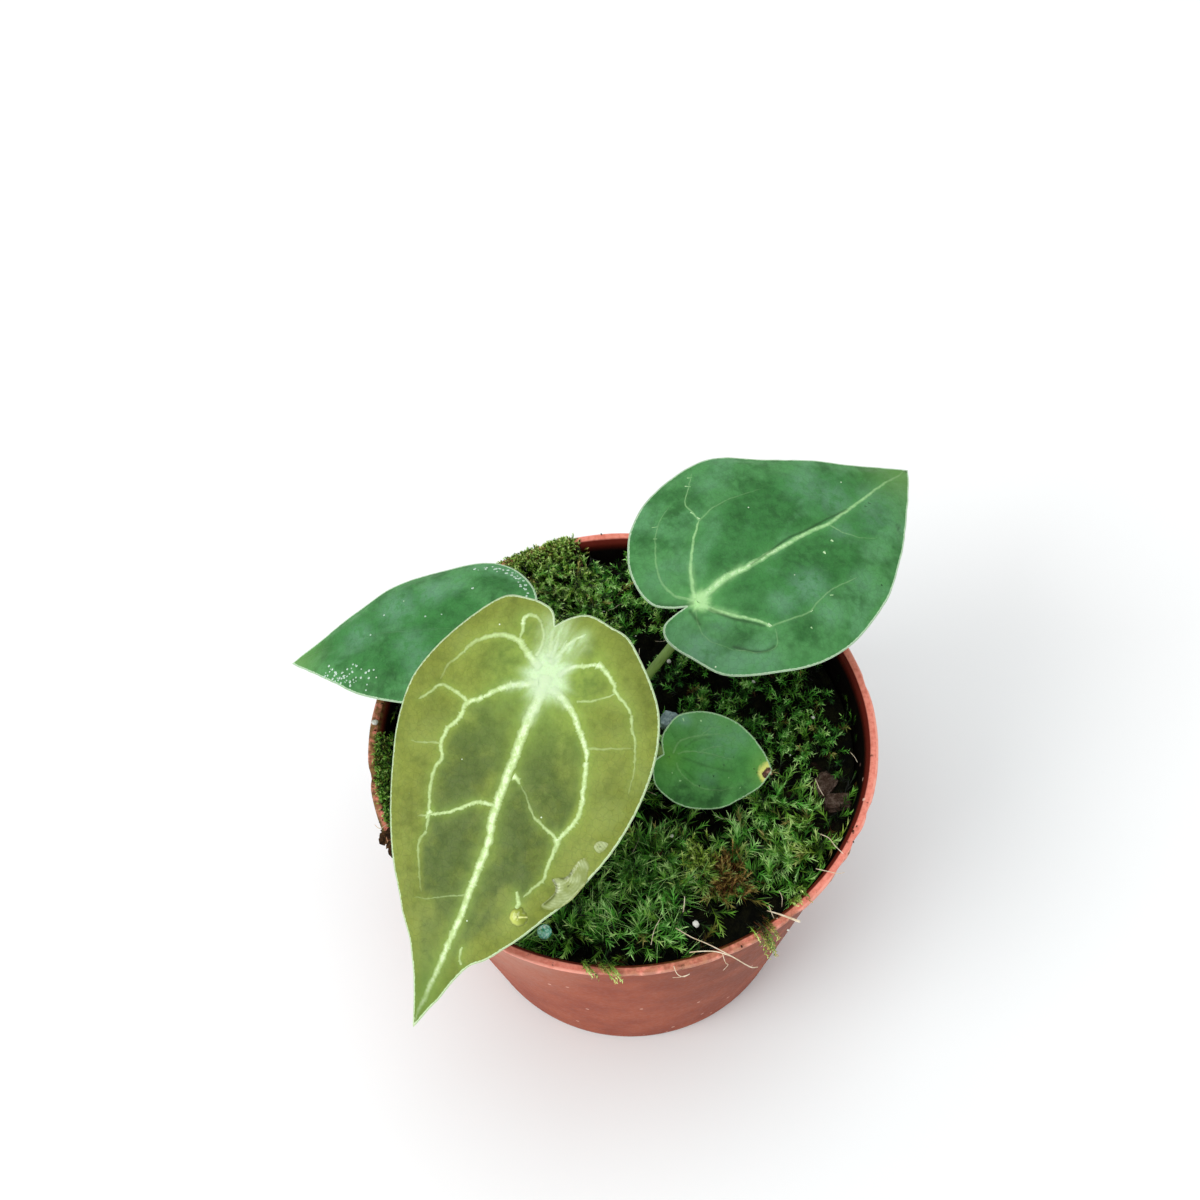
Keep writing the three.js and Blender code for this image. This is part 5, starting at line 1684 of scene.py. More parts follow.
def add_strands(pile, random, tufts, sector, away, length, broad, look_of):
    """Tufts of long thin blades like hair that lean over the moss, each a tapering ribbon"""
    joints = 6
    middle = np.radians(random.uniform(*sector, tufts))
    reach = random.uniform(*away, tufts)
    tuft = np.repeat(np.arange(tufts), PER_TUFT)
    spots = np.column_stack([reach * np.cos(middle), reach * np.sin(middle)])
    flat = spots[tuft] + 0.9 * random.normal(size=(len(tuft), 2))
    hollow = hollow_share(flat[:, 0], flat[:, 1])
    kept = hollow < random.uniform(0.05, 0.6, len(tuft))
    tuft, flat, hollow = tuft[kept], flat[kept], hollow[kept]
    count = len(tuft)
    x, y = flat.T
    roots = np.column_stack([flat, moss_top(x, y) - 2.6 - 2.5 * hollow + random.uniform(-1, 1, count)])
    lean = random.uniform(0.1, 0.8, tufts)[tuft] + 0.2 * np.abs(random.normal(size=count))
    heading = random.uniform(0, 2 * math.pi, tufts)[tuft] + 0.5 * random.normal(size=count)
    bow = random.uniform(0.3, 1.2, count)
    paths = shoot_paths(roots, lean, heading, random.uniform(*length, count), bow, joints)
    across = unit(np.cross(paths[:, -1] - paths[:, 0], unit(random.normal(size=(count, 3)))))
    taper = broad * random.uniform(0.6, 1.2, count)[:, None] * np.array([1, 1, 0.9, 0.7, 0.45, 0.1])[None]
    half = across[:, None] * taper[..., None] / 2
    points = keep_in(np.stack([paths - half, paths + half], 2).reshape(count, -1, 3))
    faces = strip_faces(count, joints)
    tone, olive = look_of
    # Darker in the hollows and toward the root: painted shade
    each = np.clip(tone + random.uniform(-0.4, 0.3, tufts)[tuft] - 0.5 * hollow, 0, 1)
    tip = np.repeat(np.linspace(0.15, 1.0, joints), 2)[None] * np.clip(1 - 0.5 * hollow, 0.3, 1)[:, None]
    pile.add(points, faces, 0, tip=tip.ravel(), tone=np.repeat(each, 2 * joints), dry=0.0,
             olive=np.repeat(np.clip(olive + 0.25 * random.normal(size=count), 0, 1), 2 * joints))


def add_withered(pile, random):
    """Withered brown shoots over the green ones, with pale yellow ones beside them"""
    brown, yellow = WITHERED
    count = brown + yellow
    flat = np.array(BROWN_PATCH[:2]) + random.normal(size=(count, 2)) * (1.5, 2.3)
    flat[brown:] += (-6.0, 3.0)
    deep = random.uniform(0.2, 2.2, count)
    deep[brown:] -= 1.2
    roots = np.column_stack([flat, moss_top(*flat.T) - deep])
    lean = random.uniform(0.3, 1.2, count)
    paths = shoot_paths(roots, lean, random.uniform(0, 2 * math.pi, count), random.uniform(2.0, 4.6, count),
                        random.uniform(0.1, 0.6, count))
    dry = np.concatenate([random.uniform(0.75, 1, brown), random.uniform(0, 0.12, yellow)])
    tone = np.concatenate([random.uniform(0.4, 0.8, brown), random.uniform(0.8, 1, yellow)])
    look_of = (tone, dry, 0.9, random.uniform(0.6, 1, count))
    add_shoots(pile, random, paths, 11, 1.7, 0.2, look_of, (0.7, 0.3))


def keep_in(points):
    """Holds moss inside the pot wall below the rim"""
    shape = points.shape
    flat = points.reshape(-1, 3).copy()
    away = np.hypot(flat[:, 0], flat[:, 1])
    limit = inner_radius(np.minimum(flat[:, 2], POT["height"])) - 0.35
    limit = np.where(flat[:, 2] > POT["height"] + 0.3, 1e3, limit)
    shrink = np.minimum(1, limit / np.maximum(away, 1e-6))
    flat[:, :2] *= shrink[:, None]
    return flat.reshape(shape)


# Each pad: its sector in degrees, the spacing of its tufts, shoots in each, their length and leaves,
# how far they lean, how far they rise above the mat, and how olive they are
MOSS = {
    "moss_front": {
        "sector": (-127, -25), "seed": 11, "spacing": 6.6, "per_clump": 34, "length": 9.0, "leaves": 22,
        "leaf": (3.0, 0.22), "opening": (0.7, 0.28), "lean": 0.3, "spread": 0.95, "rise": 4.4,
        "olive": 0.16, "tone": 0.78,
    },
    "moss_right": {
        "sector": (-17, 95), "seed": 23, "spacing": 4.6, "per_clump": 17, "length": 5.4, "leaves": 18,
        "leaf": (1.7, 0.32), "opening": (1.1, 0.75), "lean": 0.25, "spread": 0.65, "rise": 1.9,
        "olive": 0.12, "tone": 0.55,
    },
    "moss_back": {
        "sector": (96, 166), "seed": 37, "spacing": 4.0, "per_clump": 30, "length": 5.0, "leaves": 18,
        "leaf": (1.6, 0.28), "opening": (0.8, 0.4), "lean": 0.9, "spread": 0.6, "rise": 1.8,
        "olive": 0.35, "tone": 0.8,
    },
    "moss_left": {
        "sector": (169, 232), "seed": 41, "spacing": 5.0, "per_clump": 20, "length": 7.0, "leaves": 20,
        "leaf": (2.2, 0.26), "opening": (0.8, 0.4), "lean": 0.35, "spread": 0.7, "rise": 2.2,
        "olive": 0.3, "tone": 0.98,
    },
}


def tuft_roots(random, settings, clumps, sigma):
    """Flat places of shoots round the middles of their tufts, off the hollows, the wall and the stem"""
    count = len(clumps) * settings["per_clump"]
    clump = np.repeat(np.arange(len(clumps)), settings["per_clump"])
    offset = random.normal(size=(count, 2)) * sigma
    flat = clumps[clump] + offset
    kept = hollow_share(flat[:, 0], flat[:, 1]) < random.uniform(0.1, 0.8, count)
    clump, offset, flat = clump[kept], offset[kept], flat[kept]
    limit = inner_radius(78) - 0.3
    flat = flat * np.minimum(1, limit / np.maximum(np.hypot(flat[:, 0], flat[:, 1]), 1e-6))[:, None]
    stem = np.array([STEM["x"], STEM["y"]])
    near = np.maximum(np.linalg.norm(flat - stem, axis=1), 1e-6)
    flat = stem + (flat - stem) * np.maximum(1, (STEM["radius"] + 0.6) / near)[:, None]
    return clump, offset, flat


def pad_looks(random, settings, flat, hollow, fringe, clump_tone):
    """Tone, dryness, olive share and shade of each shoot; fringe is its distance from the tuft's middle"""
    x, y = flat.T
    count = len(flat)
    brighter, yellower = brightness(x, y)
    # Darker in the hollows: painted shade
    tone = settings["tone"] + clump_tone + brighter - 0.45 * hollow + 0.14 * random.normal(size=count)
    brown_x, brown_y, brown_reach = BROWN_PATCH
    dry = np.clip(1.5 - np.hypot(x - brown_x, y - brown_y) / brown_reach, 0, 1)
    dry = dry * random.uniform(0.6, 1, count)
    dry = np.maximum(dry, (random.uniform(size=count) < 0.035) * 0.7)
    olive = settings["olive"] + yellower + 0.2 * random.normal(size=count) + 0.2 * uneven(flat, 14, 71)
    shade = np.clip(1.0 - 0.85 * hollow, 0.15, 1) * (1 - 0.3 * smoothstep(fringe - 0.9))
    return np.clip(tone, 0, 1), dry, np.clip(olive, 0, 1), shade


def moss_pad(name, settings, materials):
    """Mat and shoots of one moss cushion, with what grows or hangs over the lip beside it"""
    random = np.random.default_rng(settings["seed"])
    pile = Pile("tip", "tone", "dry", "olive")
    moss_base(pile, settings["sector"])
    clumps = place_clumps(random, settings["sector"], settings["spacing"])
    clump_tone = random.uniform(-0.5, 0.5, len(clumps))
    sigma = settings["spacing"] * 0.42
    clump, offset, flat = tuft_roots(random, settings, clumps, sigma)
    count = len(flat)
    away = np.linalg.norm(offset, axis=1)
    lean = np.abs(random.normal(size=count)) * settings["lean"]
    lean += settings["spread"] * np.minimum(away / sigma, 2) / 2
    azimuth = np.where(random.uniform(size=count) < 0.65, np.arctan2(offset[:, 1], offset[:, 0]),
                       random.uniform(0, 2 * math.pi, count))
    length = settings["length"] * random.uniform(0.7, 1.2, count)
    hollow = hollow_share(*flat.T)
    crown = moss_top(*flat.T) + settings["rise"] * random.uniform(0.2, 1.3, len(clumps))[clump]
    crown -= 0.4 * away**2 / sigma + random.uniform(0, 1.2, count) + 4.0 * hollow
    height = np.maximum(crown - length * np.cos(lean), SOIL_LEVEL + 0.5)
    bow = 0.5 * random.uniform(0.3, 1.4, count)
    paths = shoot_paths(np.column_stack([flat, height]), lean, azimuth, length, bow)
    kept = hollow_share(*paths[:, -1, :2].T) < random.uniform(0.3, 1.1, count)
    paths, clump, flat, hollow, away = (values[kept] for values in (paths, clump, flat, hollow, away))
    look_of = pad_looks(random, settings, flat, hollow, away / sigma, clump_tone[clump])
    add_shoots(pile, random, paths, settings["leaves"], *settings["leaf"], look_of, settings["opening"])
    if name == "moss_back":
        creep_over_rim(pile, random)
    if name == "moss_left":
        creep_up_wall(pile, random)
    if name == "moss_front":
        hang_over_rim(pile, random)
        for strands in STRANDS:
            add_strands(pile, random, *strands)
        add_withered(pile, random)
    add_piece(f"{name}_shoots", pile.mesh(name), materials, [name])


def creep_height(away, first, level):
    """Up the inside of the wall from the first distance, then on the lip at that level"""
    return np.where(away > 57.0, level, POT["height"] - 3.2 + (away - first) * 1.2)


def creep_up_wall(pile, random):
    """Short moss up the inside of the wall and on the inner half of the lip at the left"""
    count = 1100
    azimuth = np.radians(random.uniform(176, 214, count))
    away = random.uniform(54.6, 58.2, count)
    height = creep_height(away, 54.6, POT["height"] - 0.35)
    roots = np.column_stack([away * np.cos(azimuth), away * np.sin(azimuth), height])
    heading = azimuth + random.normal(size=count) * 1.1
    paths = shoot_paths(roots, random.uniform(0.7, 1.5, count), heading, random.uniform(0.6, 1.4, count),
                        random.uniform(0.1, 0.5, count))
    look_of = (random.uniform(0.5, 1.0, count), (random.uniform(size=count) < 0.12) * 0.5,
               random.uniform(0.2, 0.8, count), random.uniform(0.6, 1.0, count))
    add_shoots(pile, random, paths, 7, 0.8, 0.25, look_of, (1.1, 0.7), wall=False)


def creep_over_rim(pile, random):
    """Short flat moss that has grown up the wall and over the lip at the back"""
    bump = 260
    strip = 1500
    azimuth = np.radians(np.concatenate([random.normal(101.5, 2.2, bump), random.uniform(103, 146, strip)]))
    away = np.concatenate([random.uniform(54.5, 59.6, bump), random.uniform(54.8, 59.6, strip)])
    level = np.concatenate([np.full(bump, POT["height"]), np.full(strip, POT["height"] - 0.35)])
    height = creep_height(away, 54.5, level)
    count = bump + strip
    roots = np.column_stack([away * np.cos(azimuth), away * np.sin(azimuth), height])
    heading = azimuth + random.normal(size=count) * 1.1
    length = np.concatenate([random.uniform(0.7, 1.5, bump), random.uniform(0.5, 1.1, strip)])
    paths = shoot_paths(roots, random.uniform(0.8, 1.5, count), heading, length,
                        random.uniform(0.1, 0.5, count))
    look_of = (random.uniform(0.4, 0.9, count), (random.uniform(size=count) < 0.12) * 0.5,
               random.uniform(0.5, 0.95, count), 1.1)
    add_shoots(pile, random, paths, 8, 0.85, 0.32, look_of, wall=False)


# Sprigs over the lip at the front: each a line of places from the moss over the lip and down
SPRIGS = [
    [(-11.5, -55.8, 85.4), (-10.9, -57.6, 86.9), (-9.6, -59.4, 86.7), (-8.8, -60.3, 86.0)],
    [(-8.6, -56.2, 85.4), (-7.6, -58.6, 87.0), (-6.0, -60.4, 86.3), (-5.2, -60.7, 84.4)],
    [(-7.0, -56.4, 85.4), (-5.8, -58.8, 87.0), (-4.4, -60.6, 86.2), (-3.9, -60.6, 84.8)],
    [(25.8, -49.6, 84.6), (26.6, -51.8, 86.9), (27.6, -54.2, 86.8), (28.6, -54.2, 82.0), (29.6, -53.4, 76.5),
     (30.6, -52.6, 71.8)],
    [(26.6, -49.6, 84.6), (28.0, -52.4, 87.0), (28.8, -53.9, 86.4), (29.6, -53.7, 80.5), (30.2, -53.0, 75.5)],
    [(25.2, -50.0, 84.6), (26.4, -52.8, 87.0), (27.4, -54.6, 86.2), (28.2, -54.4, 81.5), (29.0, -53.6, 77.5)],
    [(27.4, -48.6, 84.6), (29.0, -51.6, 87.0), (29.8, -53.2, 86.6), (30.2, -53.4, 83.6)],
    [(34.0, -44.5, 84.4), (35.2, -46.0, 86.4), (36.2, -47.2, 87.0)],
    [(36.0, -43, 84.4), (37.0, -44.4, 86.4), (37.8, -45.4, 87.0)],
]


def hang_over_rim(pile, random):
    """The sprigs over the lip, with four shorter copies of each beside it"""
    steps = np.linspace(0, 1, 7)
    paths = np.stack([spline(points, count=len(steps)) for points in SPRIGS])
    copies = [paths]
    for _ in range(4):
        shares = random.uniform(0.45, 1.0, len(paths))[:, None] * steps[None]
        shorter = [np.stack([np.interp(share, steps, path[:, k]) for k in range(3)], 1)
                   for share, path in zip(shares, paths)]
        copies.append(np.stack(shorter) + random.normal(size=(len(paths), 1, 3)) * [0.8, 0.5, 0.3])
    paths = np.concatenate(copies)
    count = len(paths)
    look_of = (random.uniform(0.2, 0.9, count), (random.uniform(size=count) < 0.35) * 0.7,
               random.uniform(0.6, 1, count), 1.1)
    add_shoots(pile, random, paths, 18, 1.0, 0.26, look_of, opening=(1.1, 0.6), wall=False)


# Small loose things

# Pale fibres: places along each, and radius at its start and end
FIBRES = [
    ([(8.5, -49.5, 84.5), (11.7, -52.2, 85.3), (14.2, -54.2, 86.8), (16.7, -55.9, 87.2), (19.9, -58.1, 87.3),
      (22.4, -59.2, 85.6), (24.0, -58.9, 82.8), (25.4, -58.0, 80.5)], 0.11, 0.13),
    ([(10.8, -56.1, 86.7), (13.6, -56.3, 87.3), (16.6, -56.7, 87.4), (19.9, -58.1, 87.4)], 0.13, 0.12),
    ([(28.6, -47.2, 85), (30.8, -49.1, 87.1), (33, -50.3, 87.4), (35.1, -51.3, 87.3)], 0.1, 0.3),
    ([(29.2, -45.8, 84.5), (30.0, -48.7, 84), (30.5, -49.6, 86.2)], 0.1, 0.08),
    ([(31.8, -42.8, 85), (32.2, -44.6, 85.4), (32, -46.2, 84)], 0.08, 0.06),
    ([(11, -43.1, 86.4), (10.8, -44.5, 86), (10.4, -45.9, 84.5)], 0.08, 0.13),
    ([(2.8, -53.3, 85.5), (3.7, -50.5, 86.4), (5.2, -48, 86.6)], 0.08, 0.06),
    ([(7.2, -58.9, 86.8), (7.8, -60.6, 86.4), (9.2, -60.9, 85.4), (10.4, -60.5, 85.8), (10.0, -60.1, 84.2),
      (8.2, -59.9, 82.8), (6.9, -60.2, 83.6)], 0.1, 0.07),
    ([(17.7, -56.8, 87.0), (18.2, -58.8, 86.4), (18.9, -58.2, 83.4), (18.0, -57.8, 79.5)], 0.09, 0.05),
    ([(44.4, -13.4, 80.4), (44.5, -15.2, 81.6), (44.9, -16.9, 81.6), (45.7, -18.2, 80.8)], 0.13, 0.1),
    ([(53.4, -7.6, 81.6), (54.0, -9.4, 82.6), (54.4, -11.2, 83)], 0.08, 0.06),
    ([(42.9, -29.4, 84), (44.4, -31.4, 85.8), (45.4, -34, 86.8), (46.8, -36, 87)], 0.12, 0.08),
    ([(40.5, -38.5, 85.6), (42.6, -39.8, 86.8), (45, -40.6, 86.9), (46.4, -40.4, 86.9)], 0.1, 0.07),
    ([(-54, -19, 84.5), (-55, -20.6, 86.6), (-56.4, -21.6, 87), (-57.6, -20.4, 86.8)], 0.1, 0.08),
]


def random_place(random, nearest, farthest):
    """A flat place between two distances from the middle of the pot"""
    turn = random.uniform(0, 2 * math.pi)
    away = random.uniform(nearest, farthest)
    return away * math.cos(turn), away * math.sin(turn)


def fibres(material):
    """Thin roots and fibres that lie on the moss and hang over the lip"""
    pile = Pile()
    random = np.random.default_rng(17)
    lines = [(np.array(points, float), start, end) for points, start, end in FIBRES]
    for _ in range(16):
        x, y = random_place(random, 12, 52)
        top = moss_top(x, y) + random.uniform(-0.5, 1.5)
        points = [np.array([x, y, top])]
        heading = random.uniform(0, 2 * math.pi)
        for _ in range(3):
            heading += random.uniform(-0.8, 0.8)
            step = [1.9 * math.cos(heading), 1.9 * math.sin(heading), random.uniform(-0.6, 0.4)]
            points.append(points[-1] + step)
        if np.hypot(*points[-1][:2]) < 54:
            lines.append((np.array(points), 0.05, 0.025))
    for points, start, end in lines:
        path = spline(points, spacing=0.6)
        pile.add_tube(path, np.linspace(start, end, len(path)), 6)
    add_piece("moss_fibres", pile.mesh("moss_fibres"), [material])


# White grains: place and size
GRAINS = [((-58.6, 7.2, 86.3), 1.5), ((9.5, -27.5, 84.6), 0.9), ((2.0, -45.0, 85.4), 0.5),
          ((32.4, -52.6, 86.4), 0.5), ((33, 13, 83), 0.8), ((46, 2, 82.5), 0.8), ((13, 20, 84), 1.1),
          ((-45, 30, 84), 1)]
# Bits on the lip: middle and spread in degrees, how many, and size
LIP_BITS = [(203.8, 1.2, 26, 2.1), (190, 14, 26, 0.45), (-33, 3, 8, 0.4), (-62, 3, 6, 0.45),
            (122, 12, 30, 0.4)]


def grit(material):
    """White grains on the moss, one on the lip at the left and a few by the hollows"""
    pile = Pile()
    random = np.random.default_rng(29)
    for spot, size in GRAINS:
        add_lump(pile, np.array(spot), GRAIN_SHAPE * size, random, 0.3, 2)
    for _ in range(34):
        x, y = random_place(random, 10, 53)
        spot = np.array([x, y, moss_top(x, y) + random.uniform(0.2, 1.2)])
        add_lump(pile, spot, GRAIN_SHAPE * random.uniform(0.16, 0.42), random, 0.3, 1)
    add_piece("white_grit", pile.mesh("white_grit"), [material])


def rim_debris(material):
    """Dark bits of bark and mix caught on the lip at the left and the right"""
    pile = Pile()
    random = np.random.default_rng(31)
    lip = POT["height"] + 0.25
    for middle, spread, count, size in LIP_BITS:
        for _ in range(count):
            azimuth = math.radians(random.normal(middle, spread))
            away = random.uniform(57.4, 59.9)
            shape = random.uniform(0.5, 1.3) * size * CHIP_SHAPE
            low = random.uniform(0, 2.2) if size > 1 else 0
            away = away + 0.6 if low > 1 else away
            spot = np.array([away * math.cos(azimuth), away * math.sin(azimuth), lip - low])
            add_lump(pile, spot, shape, random, 0.3, 1)
    add_piece("rim_debris", pile.mesh("rim_debris"), [material])


# Finer forms of the small things, in the places of the CAD source and about its sizes: size, place,
# turn, how square they are (2 is round), roughness and its direction
SMALL_THINGS = {
    "granule_teal": {"size": (3.2, 3.2, 3.0), "place": (-20, -48.2, 84.6), "turn": 0.4, "square": 2.1,
                     "rough": 0.02, "grain": (1, 1, 1), "slot": "granule"},
    "pumice_blue": {"size": (4.4, 4.0, 3.2), "place": (11.6, 2.6, 84.8), "turn": 1.1, "square": 3.6,
                    "rough": 0.12, "grain": (1, 1, 1), "slot": "pumice"},
    "perlite_front": {"size": (1.5, 1.2, 1.1), "place": (12.9, -48.8, 84.4), "turn": 2.1, "square": 2.6,
                      "rough": 0.16, "grain": (1, 1, 1), "slot": "perlite"},
    "bark_right": {"size": (6.0, 4.4, 2.2), "place": (46.8, -13.4, 77.2), "turn": 0.9, "square": 4.0,
                   "rough": 0.16, "grain": (0.3, 1.6, 2.4), "slot": "bark"},
    "bark_wall": {"size": (6.0, 4.0, 2.2), "place": (49, -18.4, 77.2), "turn": 0.1, "square": 3.4,
                  "rough": 0.22, "grain": (0.3, 1.8, 2.4), "slot": "bark"},
}


def small_things():
    """Granule, pumice, perlite and bark chips, each on its own place"""
    bark = earth_paint("bark_face", paint(84, 64, 52), paint(142, 122, 110), 1.4)
    materials = {
        "granule": granule_paint(),
        "pumice": lump_paint("pumice_face", paint(104, 128, 132), paint(160, 182, 184), 0.9),
        "perlite": lump_paint("perlite_face", paint(240, 240, 234), paint(208, 208, 202), 0.8),
        "bark": bark,
    }
    corners, triangles = icosphere(5)
    for number, (node, thing) in enumerate(SMALL_THINGS.items()):
        power = thing["square"]
        reach = (np.abs(corners) ** power).sum(1) ** (-1 / power)
        swell = 1 + thing["rough"] * uneven(corners * np.array(thing["grain"]), 0.9, 200 + number, 4)
        body = corners * (reach * swell)[:, None] * np.array(thing["size"]) / 2
        body = np.clip(body, -0.55 * np.array(thing["size"]), 0.55 * np.array(thing["size"]))
        turn = np.array(Matrix.Rotation(thing["turn"], 3, "Z"))
        mesh = write_mesh(f"{node}_fine", body @ turn.T + np.array(thing["place"]), [(triangles, 0)])
        add_piece(f"{node}_fine", mesh, [materials[thing["slot"]]], [node])


def bead(pile, tree, x, y, radius, height, rings=8, around=24, lobes=0.0, seed=1, outline=None):
    """Water drop that sits on a blade: a dome over a patch of its surface"""
    angle = np.linspace(0, 2 * math.pi, around, endpoint=False)
    if outline is None:
        circle = np.stack([np.cos(angle), np.sin(angle)], 1)
        reach = radius * (1 + lobes * uneven(circle, 1.2, seed, 2))
        edge = circle * reach[:, None]
    else:
        edge = spline(list(outline) + [outline[0]], count=around + 1)[:-1] - np.array([x, y])
    flat = [np.array([[x, y]])]
    rise = [np.array([height])]
    for k in range(1, rings + 1):
        share = k / rings
        flat.append(np.array([x, y]) + edge * share)
        rise.append(np.full(around, height * (1 - share**2.4) ** 0.7 if share < 1 else 0.0))
    flat = np.vstack(flat)
    surface = np.array([surface_height(tree, *spot) for spot in flat])
    surface = np.where(np.isnan(surface), np.nanmean(surface), surface)
    top = np.column_stack([flat, surface + np.concatenate(rise) + 0.02])
    low = np.column_stack([flat, surface - 0.06])
    total = len(top)
    rows = grid_faces(rings, around, closed=True) + 1
    middle = fan(0, 1, around)
    last = 1 + (rings - 1) * around
    core = np.concatenate([[1.0], np.repeat(1 - np.arange(1, rings + 1) / rings, around)])
    pile.add(np.vstack([top, low]), rows, core=np.tile(core, 2))
    side = ring_wall(last, total + last, around)
    for faces in (rows[:, ::-1] + total, middle, middle[:, ::-1] + total, side):
        pile.join(faces)
    return np.vstack([flat, flat])


# Water film on the front leaf by its right edge, as [across, along]: outlines of its two patches and the arcs
# of painted shadow on its inner side
FILM = [(-22.9, 29.3), (-24.3, 30.6), (-24.4, 32.0), (-24.9, 33.9), (-24.4, 35.6), (-23.6, 37.7),
        (-22.6, 39.4), (-21.4, 40.8), (-19.7, 41.8), (-18.2, 41.6), (-18.9, 40.0), (-19.6, 38.4),
        (-19.5, 37.2), (-18.3, 36.0), (-18.6, 35.5), (-20.0, 34.8), (-20.9, 34.0), (-21.2, 32.6),
        (-21.6, 31.2), (-22.2, 30.0)]
FILM_PATCH = [(-23.8, 26.8), (-23.8, 25.9), (-24.6, 25.1), (-26.1, 25.0), (-26.2, 25.6), (-25.9, 26.6),
              (-25.4, 27.4), (-24.7, 27.5)]
FILM_SHADOW_ARCS = [[(-21.4, 32.8), (-21.4, 33.5), (-21.1, 34.2), (-20.5, 34.8), (-19.8, 35.0)],
             [(-18.4, 35.9), (-19.1, 36.3), (-19.7, 36.9), (-19.9, 37.7), (-19.9, 38.6), (-19.7, 39.3),
              (-19.2, 40.2), (-18.7, 41.0)]]
DROP = (-14.7, 45.4)
# Beads on the left leaf: middle, spread and count of each group, and the edge that has a row of them
BEADS = [(-8.8, 33.6, 1.9, 26), (-7.2, 39.4, 1.5, 14), (-11.5, 30, 1.8, 12), (3.0, 20.0, 7.0, 5),
         (9.0, 46.0, 0.3, 1)]
BEADED_EDGE = [(17.9, 4), (18.4, -0.6), (16.4, -4.4), (13, -7.6), (9.5, -9.4)]


def water(tree_front, axes_front, tree_left, axes_left):
    """A drop and a thin film on the front leaf, and small beads on the left leaf"""
    pile = Pile("core")
    flat = bead(pile, tree_front, *DROP, 1.85, 0.55, rings=12, around=40, lobes=0.1, seed=4)
    add_piece("water_drop", with_plane(pile, "water_drop", axes_front, flat), [drop_paint()])
    pile = Pile("core", "arc")
    flat = bead(pile, tree_front, -21.8, 35.8, 1, 0.25, rings=26, around=120, outline=FILM)
    patch = bead(pile, tree_front, -25.0, 26.2, 1, 0.2, rings=10, around=48, outline=FILM_PATCH)
    flat = np.vstack([flat, patch])
    away = np.min([distance_to(flat, spline(line, spacing=0.3))[0] for line in FILM_SHADOW_ARCS], axis=0)
    pile.fields["arc"] = [np.exp(-((away / 0.3) ** 2)) * 0.95]
    add_piece("water_film", with_plane(pile, "water_film", axes_front, flat), [film_paint()])
    pile = Pile("core")
    random = np.random.default_rng(43)
    for x, y, spread, count in BEADS:
        for _ in range(count):
            bead(pile, tree_left, x + random.normal() * spread * 0.6, y + random.normal() * spread,
                 random.uniform(0.12, 0.34), random.uniform(0.1, 0.26), rings=3, around=10, seed=2)
    for x, y in spline(BEADED_EDGE, count=40):
        bead(pile, tree_left, x - 0.8 + random.normal() * 0.5, y + 0.6 + random.normal() * 0.5,
             random.uniform(0.12, 0.36), random.uniform(0.1, 0.25), rings=3, around=10, seed=3)
    pile.points = [to_world(axes_left, np.vstack(pile.points))]
    add_piece("water_beads", pile.mesh("water_beads"), [bead_glint_paint()])


# Camera, light and floor


# Lights: place and size in metres, power and colour
LIGHTS = {
    "key": ((-1.5, -0.8, 1.55), 1.35, 22, (1.0, 0.99, 0.97)),
    "top": ((0.0, 0.2, 2.4), 1.4, 9, (0.97, 0.99, 1.0)),
}
LIGHT_TARGET = (0, 0, 0.05)
SKY_STRENGTH = 0.74
FLOOR_REACH = 3000
FLOOR_LEVEL = -0.2


def look():
    """The camera of the photograph"""
    camera = bpy.data.objects.new("camera", bpy.data.cameras.new("camera"))
    bpy.context.scene.collection.objects.link(camera)
    axes = Matrix((CAMERA["right"], CAMERA["up"], CAMERA["back"])).transposed().to_4x4()
    camera.matrix_world = Matrix.Translation(Vector(CAMERA["place"]) * MM) @ axes
    camera.data.lens = CAMERA["lens"]
    camera.data.sensor_width = 36
    camera.data.clip_start = 0.01
    bpy.context.scene.camera = camera


def area_light(name, place, size, power, colour):
    data = bpy.data.lights.new(name, "AREA")
    data.shape = "DISK"
    data.size = size
    data.energy = power
    data.color = colour
    light = bpy.data.objects.new(name, data)
    bpy.context.scene.collection.objects.link(light)
    light.location = place
    light.rotation_mode = "QUATERNION"
    light.rotation_quaternion = (Vector(LIGHT_TARGET) - Vector(place)).to_track_quat("-Z", "Y")


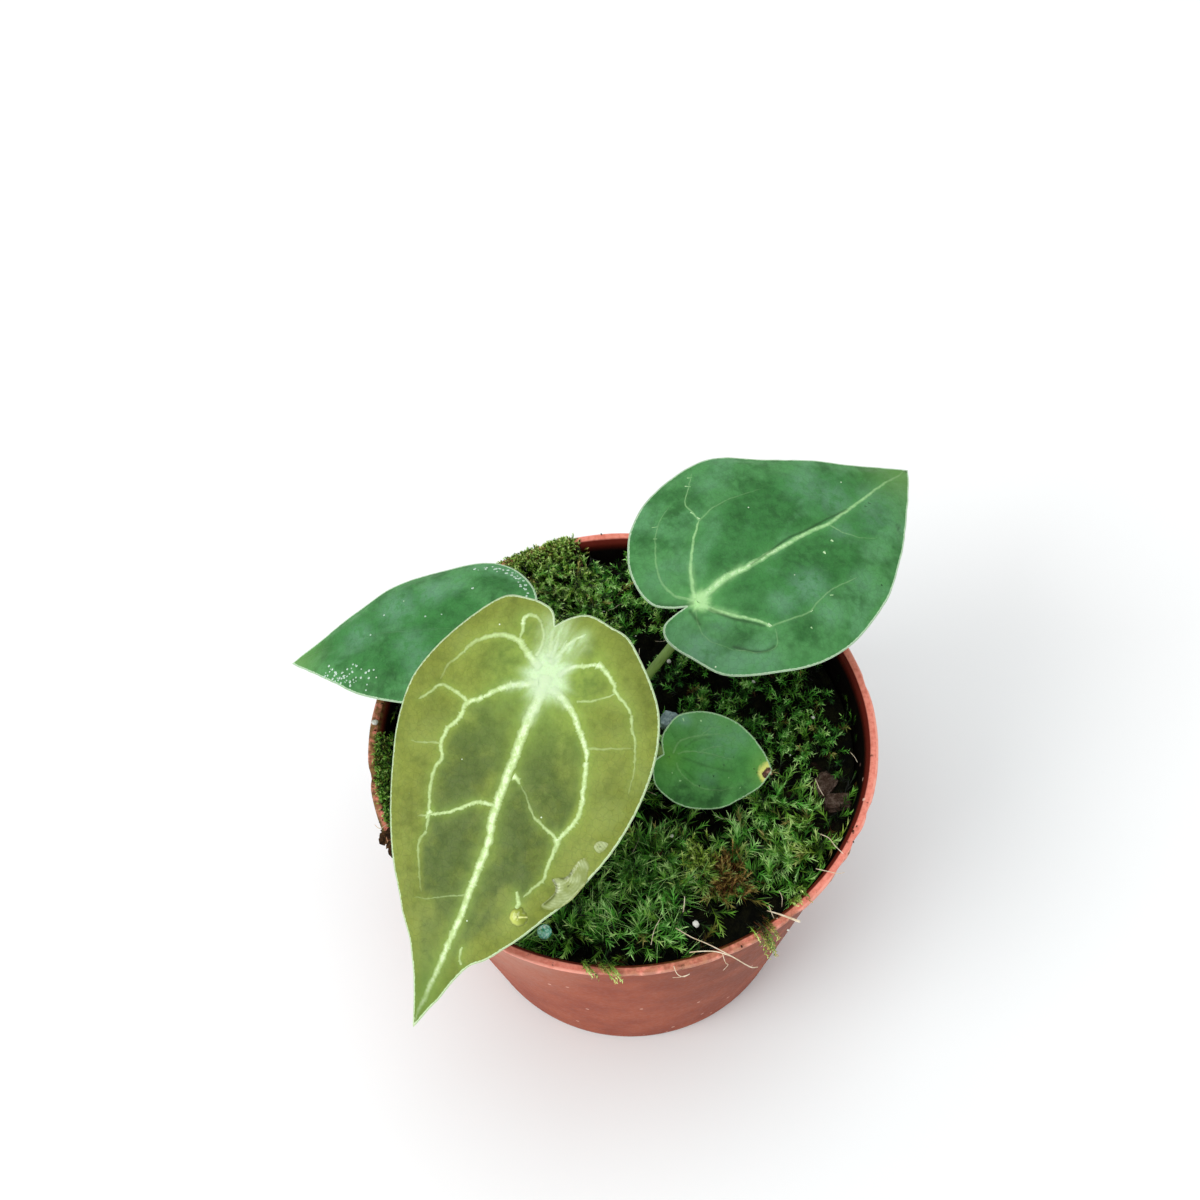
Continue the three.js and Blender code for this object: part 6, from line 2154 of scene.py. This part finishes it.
def studio():
    scene = bpy.context.scene
    scene.view_settings.view_transform = "Standard"
    world = bpy.data.worlds.new("studio")
    scene.world = world
    world.use_nodes = True
    sky = world.node_tree.nodes["Background"]
    sky.inputs["Color"].default_value = (1, 1, 1, 1)
    sky.inputs["Strength"].default_value = SKY_STRENGTH
    for name, settings in LIGHTS.items():
        area_light(name, *settings)
    corners = [(-FLOOR_REACH, -FLOOR_REACH, FLOOR_LEVEL), (FLOOR_REACH, -FLOOR_REACH, FLOOR_LEVEL),
               (FLOOR_REACH, FLOOR_REACH, FLOOR_LEVEL), (-FLOOR_REACH, FLOOR_REACH, FLOOR_LEVEL)]
    floor_mesh = write_mesh("floor", corners, [(np.array([[0, 1, 2, 3]]), 0)])
    shader = Shader("floor_pale")
    away = shader.vector("LENGTH", shader.place())
    # A cool tint near the pot, painted to cancel the reddish light that the pot throws on the floor
    colour = shader.mix(shader.step(away, 55, 200), (0.928, 0.974, 0.987, 1), (0.962, 0.98, 0.984, 1))
    shader.set(Base_Color=colour, Roughness=0.9, Specular_IOR_Level=0.1)
    floor_mesh.materials.append(shader.material)
    floor = bpy.data.objects.new("floor", floor_mesh)
    scene.collection.objects.link(floor)


def plain_material(node, material):
    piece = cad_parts[node]
    piece.data.materials.clear()
    piece.data.materials.append(material)


def build():
    look()
    studio()
    pot_shell(pot_paint())
    potting_mix(earth_paint("potting_mix_dark", paint(34, 24, 18), paint(70, 50, 38), 3.0))
    bronze, green, small_green = (leaf_paint(name, **look) for name, look in LEAF_LOOKS.items())
    tree_front, axes_front = blade("leaf_front", LEAVES["front"], bronze, 3, reach=1.7)
    blade("leaf_right", LEAVES["right"], green, 5, reach=1.2)
    tree_left, axes_left = blade("leaf_left", LEAVES["left"], green, 8, reach=1.0)
    blade("leaf_small", LEAVES["small"], small_green, 9, reach=0.6)
    stalks = stalk_paint("stalk_green", paint(112, 140, 62), paint(132, 164, 84), paint(98, 122, 56))
    for name, leaf in LEAVES.items():
        petiole(f"petiole_{name}_stalk", leaf, stalks)
    # The moss mat's near black is painted shade
    moss_looks = [moss_paint(), earth_paint("moss_mat_painted_shade", paint(10, 12, 6), paint(34, 34, 16), 2.5)]
    for name, settings in MOSS.items():
        moss_pad(name, settings, moss_looks)
    water(tree_front, axes_front, tree_left, axes_left)
    fibres(lump_paint("fibre_pale", paint(242, 230, 206), paint(210, 186, 152), 2.0))
    grit(lump_paint("grit_white", paint(240, 240, 232), paint(206, 206, 198), 0.6))
    rim_debris(earth_paint("debris_dark", paint(52, 36, 22), paint(120, 86, 54), 1.2))
    plain_material("stem_with_roots", earth_paint("stem_bark", paint(120, 116, 70), paint(90, 80, 50), 2.0))
    plain_material("bract", earth_paint("bract_paper", paint(150, 116, 70), paint(120, 86, 50), 1.5))
    small_things()


build()
